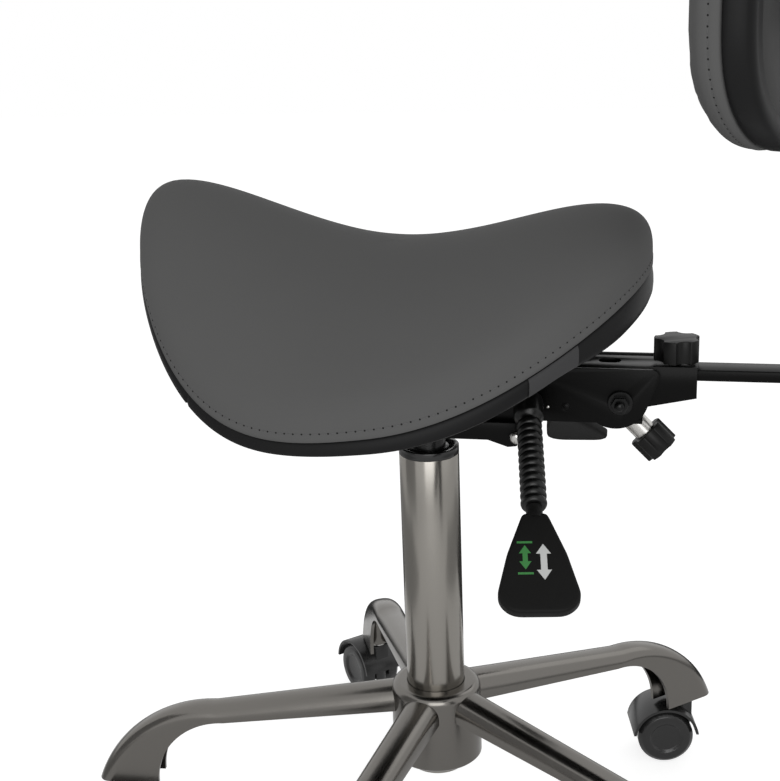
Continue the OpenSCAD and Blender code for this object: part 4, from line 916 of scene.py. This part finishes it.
def sewn_panel(grid, side):
    """Sinks the row of stitches, with a shallow dip beyond it, and lifts the seam allowance between
    it and the edge. Side is +1 or -1, whichever makes the rings' normals point outwards."""
    depth = edge_distance(grid)
    sink = -STITCH_GROOVE * np.exp(-((depth - STITCH_INSET) / GROOVE_WIDTH) ** 2)
    lift = SEAM_ROLL * np.exp(-((depth - STITCH_INSET * 0.5) / ROLL_WIDTH) ** 2)
    dip = -DIP_SHARE * STITCH_GROOVE * np.exp(-((depth - STITCH_INSET - DIP_BEYOND) / DIP_WIDTH) ** 2)
    return grid + side * ring_normals(grid) * (sink + lift + dip)[..., None]


def filled_panel(name, ring_of, turn, outward, most):
    """The panel's rings as the foam fills them and the seam draws them in, and the sign that makes
    their normals point outwards: outward is about where the panel's middle looks."""
    coarse_turn = turn[::COARSE_STEP]
    coarse = [ring_of(coarse_turn, reach) for reach in COARSE_SHARES]
    swell = plumped(name, coarse, ring_of(turn[:1], 0.0)[0], most)
    fine = np.array([[np.interp(reach, COARSE_SHARES, swell[:, i]) for i in range(swell.shape[1])]
                     for reach in RING_SHARES])
    spread = np.array([np.interp(turn, np.append(coarse_turn, 2 * math.pi), np.append(row, row[0]))
                       for row in fine])
    grid = np.array([ring_of(turn, reach) for reach in RING_SHARES])
    side = np.sign((ring_normals(grid)[5] @ np.array(outward)).mean())
    freedom = np.clip(edge_distance(grid) / EDGE_HELD, 0.0, 1.0)
    grid = grid + side * ring_normals(grid) * (spread * freedom)[..., None]
    return sewn_panel(grid, side), side


def seam_path(grid, side):
    """Places and outward directions along the stitch line."""
    depth = edge_distance(grid)
    normal = side * ring_normals(grid)
    places, outward = [], []
    for i in range(grid.shape[1]):
        order = depth[::-1, i]
        places.append([np.interp(STITCH_INSET, order, grid[::-1, i, c]) for c in range(3)])
        outward.append([np.interp(STITCH_INSET, order, normal[::-1, i, c]) for c in range(3)])
    return places, outward


def row_of_stitches():
    """Node tree: threads between dark dots of painted shade that stand for needle holes, at an even pitch
    along a closed seam.
    """
    tree = bpy.data.node_groups.new("row_of_stitches", "GeometryNodeTree")
    faces_of = tree.interface
    faces_of.new_socket("Geometry", in_out="INPUT", socket_type="NodeSocketGeometry")
    for title, value in (("Pitch", STITCH_PITCH), ("Thread Length", 0.0036), ("Thread Width", 0.00075),
                         ("Thread Height", 0.0005), ("Hole Width", 0.0015)):
        socket = faces_of.new_socket(title, in_out="INPUT", socket_type="NodeSocketFloat")
        socket.default_value = value
    for title in ("Thread Material", "Hole Material"):
        faces_of.new_socket(title, in_out="INPUT", socket_type="NodeSocketMaterial")
    faces_of.new_socket("Geometry", in_out="OUTPUT", socket_type="NodeSocketGeometry")
    nodes, links = tree.nodes, tree.links
    given, made = nodes.new("NodeGroupInput"), nodes.new("NodeGroupOutput")
    seam = nodes.new("GeometryNodeMeshToCurve")
    even = nodes.new("GeometryNodeResampleCurve")
    even.mode = "LENGTH"
    links.new(given.outputs["Geometry"], seam.inputs["Mesh"])
    links.new(seam.outputs["Curve"], even.inputs["Curve"])
    links.new(given.outputs["Pitch"], even.inputs["Length"])
    tangent = nodes.new("GeometryNodeInputTangent")
    outward = nodes.new("GeometryNodeInputNamedAttribute")
    outward.data_type = "FLOAT_VECTOR"
    outward.inputs["Name"].default_value = "outward"
    along = nodes.new("FunctionNodeAlignRotationToVector")
    along.axis = "X"
    links.new(tangent.outputs["Tangent"], along.inputs["Vector"])
    upright = nodes.new("FunctionNodeAlignRotationToVector")
    upright.axis = "Z"
    upright.pivot_axis = "X"
    links.new(along.outputs["Rotation"], upright.inputs["Rotation"])
    links.new(outward.outputs["Attribute"], upright.inputs["Vector"])
    joined = nodes.new("GeometryNodeJoinGeometry")
    # The holes are small lumps on the panel whose dark colour is painted shade, as if each hole were dark
    # inside.
    for kind in ("Thread", "Hole"):
        ball = nodes.new("GeometryNodeMeshUVSphere")
        ball.inputs["Segments"].default_value = 8
        ball.inputs["Rings"].default_value = 6
        ball.inputs["Radius"].default_value = 0.5
        size = nodes.new("ShaderNodeCombineXYZ")
        form = nodes.new("GeometryNodeTransform")
        links.new(given.outputs["Thread Length" if kind == "Thread" else "Hole Width"], size.inputs["X"])
        links.new(given.outputs["Thread Width" if kind == "Thread" else "Hole Width"], size.inputs["Y"])
        links.new(given.outputs["Thread Height"], size.inputs["Z"])
        links.new(ball.outputs["Mesh"], form.inputs["Geometry"])
        links.new(size.outputs["Vector"], form.inputs["Scale"])
        shift = nodes.new("ShaderNodeMath")
        shift.operation = "MULTIPLY"
        links.new(given.outputs["Pitch"], shift.inputs[0])
        shift.inputs[1].default_value = 0.5 if kind == "Thread" else 0.0
        move = nodes.new("ShaderNodeVectorMath")
        move.operation = "SCALE"
        links.new(tangent.outputs["Tangent"], move.inputs["Vector"])
        links.new(shift.outputs[0], move.inputs["Scale"])
        place = nodes.new("GeometryNodeSetPosition")
        links.new(even.outputs["Curve"], place.inputs["Geometry"])
        links.new(move.outputs["Vector"], place.inputs["Offset"])
        copies = nodes.new("GeometryNodeInstanceOnPoints")
        links.new(place.outputs["Geometry"], copies.inputs["Points"])
        links.new(form.outputs["Geometry"], copies.inputs["Instance"])
        links.new(upright.outputs["Rotation"], copies.inputs["Rotation"])
        real = nodes.new("GeometryNodeRealizeInstances")
        links.new(copies.outputs["Instances"], real.inputs["Geometry"])
        finish = nodes.new("GeometryNodeSetMaterial")
        links.new(real.outputs["Geometry"], finish.inputs["Geometry"])
        links.new(given.outputs[kind + " Material"], finish.inputs["Material"])
        links.new(finish.outputs["Geometry"], joined.inputs["Geometry"])
    links.new(joined.outputs["Geometry"], made.inputs["Geometry"])
    return tree


def stitched(name, grid, side, body):
    """The row of stitches along a panel's seam, as one plain mesh: grid is the panel's rings."""
    places, outward = seam_path(grid, side)
    count = len(places)
    mesh = bpy.data.meshes.new(name)
    mesh.from_pydata([tuple(p) for p in places], [(k, (k + 1) % count) for k in range(count)], [])
    field = mesh.attributes.new("outward", "FLOAT_VECTOR", "POINT")
    field.data.foreach_set("vector", np.array(outward, dtype=float).ravel())
    piece = link_new(name, mesh)
    row = piece.modifiers.new("stitches", "NODES")
    row.node_group = stitch_tree
    for socket in stitch_tree.interface.items_tree:
        if socket.name == "Thread Material":
            row[socket.identifier] = grey_thread
        if socket.name == "Hole Material":
            row[socket.identifier] = painted_hole_shade
    applied(piece)
    smooth_by_angle(piece, math.radians(60))
    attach(piece, body)


turn = np.arange(TURNS) * 2 * math.pi / TURNS
top_rings, seat_side = filled_panel("seat_foam_press", crown_ring, turn, (0.0, 0.0, 1.0), SEAT_PLUMP_MOST)
lip = [seat_ring(turn, inset, drop) for inset, drop in LIP_POINTS]
panel = rings_to_mesh("seat_panel", list(top_rings) + lip, first=top_rings[0].mean(axis=0))
grey_cover = leather("grey_cover", (0.098, 0.098, 0.0975, 1.0), roughness=0.6, mottle=0.035, specular=0.2,
                     density=1.12)
dress(panel, grey_cover, "seat")
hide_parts("seat_cushion")

stitch_tree = row_of_stitches()
grey_thread = leather("grey_thread", (0.085, 0.085, 0.085, 1.0), roughness=0.6, mottle=0.1, grain=4000.0,
                      depth=0.00004)
# Painted shade: the needle holes' near-black colour stands for the shadow inside each hole.
painted_hole_shade = leather("painted_hole_shade", (0.012, 0.012, 0.012, 1.0), roughness=0.8, mottle=0.1, grain=4000.0,
                      depth=0.00004, specular=0.1)
stitched("seat_edge_stitches", top_rings, seat_side, "seat")

BAND_SEAM_TURN = math.radians(231.0)
BAND_SEAM_REACH, BAND_SEAM_WIDTH, BAND_SEAM_DEPTH = 0.19, 0.0009, 0.0011
# Each widening of the band towards the rear: its share, and the cosines of the turn from and to which.
BAND_WIDENINGS = ((0.37, -0.2, 0.5), (0.85, 0.66, 0.92))
BAND_POINTS = ((0.004, SEAM_UNDER), (0.0013, 0.0018), (0.0002, 0.0028), (-0.0005, 0.0050), (-0.0007, 0.0075),
               (-0.0003, 0.0098), (0.0012, 0.0116), (0.0036, BAND_HEIGHT), (0.012, 0.0130), (0.0150, 0.0120),
               (0.0200, 0.0080))
from_seam = np.angle(np.exp(1j * (turn - BAND_SEAM_TURN))) * BAND_SEAM_REACH
seam_dent = np.exp(-(from_seam / BAND_SEAM_WIDTH) ** 2)


def band_drop(angle, drop, taller=1.0):
    """How far under the edge a point of the band is, where the band widens towards the rear."""
    for widening, begins, ends in BAND_WIDENINGS:
        rearward = np.clip((np.cos(angle) - begins) / (ends - begins), 0.0, 1.0)
        taller = taller + widening * rearward * rearward * (3.0 - 2.0 * rearward)
    return SEAM_UNDER + (drop - SEAM_UNDER) * taller


def band_ring(inset, drop):
    """A ring of the side band, drawn in where its two ends are sewn together."""
    drop = band_drop(turn, drop)
    points = seat_ring(turn, inset, drop)
    drawn = seat_ring(turn, inset + BAND_SEAM_DEPTH, drop)
    return points + (drawn - points) * seam_dent[:, None]


band = rings_to_mesh("seat_side_band", [band_ring(inset, drop) for inset, drop in BAND_POINTS])
black_cover = leather("black_cover", (0.0105, 0.0105, 0.0108, 1.0), roughness=0.42, mottle=0.08, specular=0.3,
                      density=1.25)
dress(band, black_cover, "seat")
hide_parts("seat_band")

dress(softened("seat_pan", "seat_pan_moulded", 0.0001), black_plastic, "seat")


# The maker's tag
# A bare woven ribbon, folded and sewn in under the panel's edge, lying flat on the side band.
TAG_FROM = math.radians(305.9)
TAG_TO = math.radians(318.6)
TAG_COLUMNS = 40
TAG_SHARE = 0.87
TAG_THICK = 0.0008
TAG_POINTS = ((-0.0008, 0.0012), (-0.0019, 0.0030), (-0.0020, 0.0060), (-0.0019, 0.0090), (-0.0013, 0.0112),
              (-0.0005, 0.0121))


def tag_row(inset, drop):
    drop = SEAM_UNDER + (band_drop(tag_turn, drop) - SEAM_UNDER) * TAG_SHARE
    return seat_ring(tag_turn, inset, drop)


tag_turn = np.linspace(TAG_FROM, TAG_TO, TAG_COLUMNS)
front = [tag_row(inset, drop) for inset, drop in TAG_POINTS]
behind = [tag_row(inset + TAG_THICK, drop) for inset, drop in TAG_POINTS]
grid = np.array(front + behind[::-1])
rows, columns = grid.shape[:2]
faces = []
for j in range(rows):
    here, below = j * columns, (j + 1) % rows * columns
    faces += [(here + i, here + i + 1, below + i + 1, below + i) for i in range(columns - 1)]
faces.append(tuple(j * columns for j in range(rows)))
faces.append(tuple(j * columns + columns - 1 for j in reversed(range(rows))))
mesh = bpy.data.meshes.new("seat_tag_woven")
mesh.from_pydata([tuple(p) for p in grid.reshape(-1, 3)], [], faces)
mesh.validate()
faced_outwards(mesh)
tag = link_new("seat_tag_woven", mesh)
smooth_by_angle(tag, math.radians(50))


def ribbon(name, colour):
    """Woven ribbon: fine level ribs that waver a little."""
    material, nodes, links, shader = new_material(name)
    shader.inputs["Roughness"].default_value = 0.62
    shader.inputs["Specular IOR Level"].default_value = 0.25
    place = nodes.new("ShaderNodeTexCoord")
    weave = nodes.new("ShaderNodeTexWave")
    weave.bands_direction = "Z"
    weave.inputs["Scale"].default_value = 700.0
    weave.inputs["Distortion"].default_value = 0.6
    links.new(place.outputs["Object"], weave.inputs["Vector"])
    uneven_tone(nodes, links, shader, weave.outputs["Fac"], colour, 0.75, 1.2)
    raised_grain(nodes, links, shader, weave.outputs["Fac"], 0.4, 0.0001)
    return material


dress(tag, ribbon("woven_tag", (0.039, 0.039, 0.04, 1.0)), "seat")
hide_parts("seat_tag")


# The backrest
# A curved foam pad on a moulded shell, covered like the saddle: a grey panel to the front, sewn to
# a black side band. A steel plate behind it hangs on the slider's hinge pin.
BACK_WIDTH = 0.360
BACK_HEIGHT = 0.205
BACK_WRAP = 0.042
BACK_PADDING = 0.038
BACK_ROUND = 0.72
BACK_CROWN = 3.0
BACK_CENTRE_HEIGHT = 0.7355
BACK_PLATE_FACE = 0.289
SHELL = 0.008
FRONT_OF_PLATE = 0.0046
BACK_TURNS = 600
BACK_PLUMP_MOST = 0.0012
BACK_BAND_POINTS = ((0.004, BAND_HEIGHT - 0.0016), (0.0013, BAND_HEIGHT - 0.0018),
                    (0.0002, BAND_HEIGHT - 0.0028), (-0.0007, 0.006), (-0.0011, 0.001), (-0.0008, -0.004),
                    (0.0008, -0.0072), (0.0036, -0.0084), (0.012, -0.0088), (0.0122, -0.0084))


def back_place(turn, inset, depth, reach=1.0):
    """A point of the backrest's outline at a share of its reach, with its depth to the front."""
    y = (BACK_WIDTH / 2 - inset) * swung(np.cos(turn), BACK_ROUND) * reach
    z = (BACK_HEIGHT / 2 - inset) * swung(np.sin(turn), BACK_ROUND) * reach
    bend = BACK_WRAP * (np.abs(y) / (BACK_WIDTH / 2)) ** 2
    x = BACK_PLATE_FACE - FRONT_OF_PLATE - SHELL - bend - depth
    return np.stack([x, y, BACK_CENTRE_HEIGHT + z], axis=1)


def back_crown_ring(turn, reach):
    swell = max(1 - reach ** BACK_CROWN, 0.0) ** (1 / BACK_CROWN)
    return back_place(turn, 0.0, BAND_HEIGHT + BACK_PADDING * swell, reach)


def back_skin(name, rings, material, node, first=None):
    """A covering of the backrest, which stands for a node."""
    skin = rings_to_mesh(name, rings, first)
    faced_outwards(skin.data)
    skin.data.shade_smooth()
    dress(skin, material, "back")
    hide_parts(node)
    return skin


back_turn = np.arange(BACK_TURNS) * 2 * math.pi / BACK_TURNS
back_rings, back_side = filled_panel("back_foam_press", back_crown_ring, back_turn, (-1.0, 0.0, 0.0),
                                     BACK_PLUMP_MOST)
back_lip = [back_place(back_turn, inset, BAND_HEIGHT - drop) for inset, drop in LIP_POINTS]
back_panel = back_skin("back_panel", list(back_rings) + back_lip, grey_cover,
                       "back_cushion", first=back_rings[0].mean(axis=0))
stitched("back_edge_stitches", back_rings, back_side, "back")
back_skin("back_side_band", [back_place(back_turn, inset, depth) for inset, depth in BACK_BAND_POINTS],
          black_cover, "back_band")
dress(softened("back_pan", "back_pan_moulded", 0.0001), black_plastic, "back")
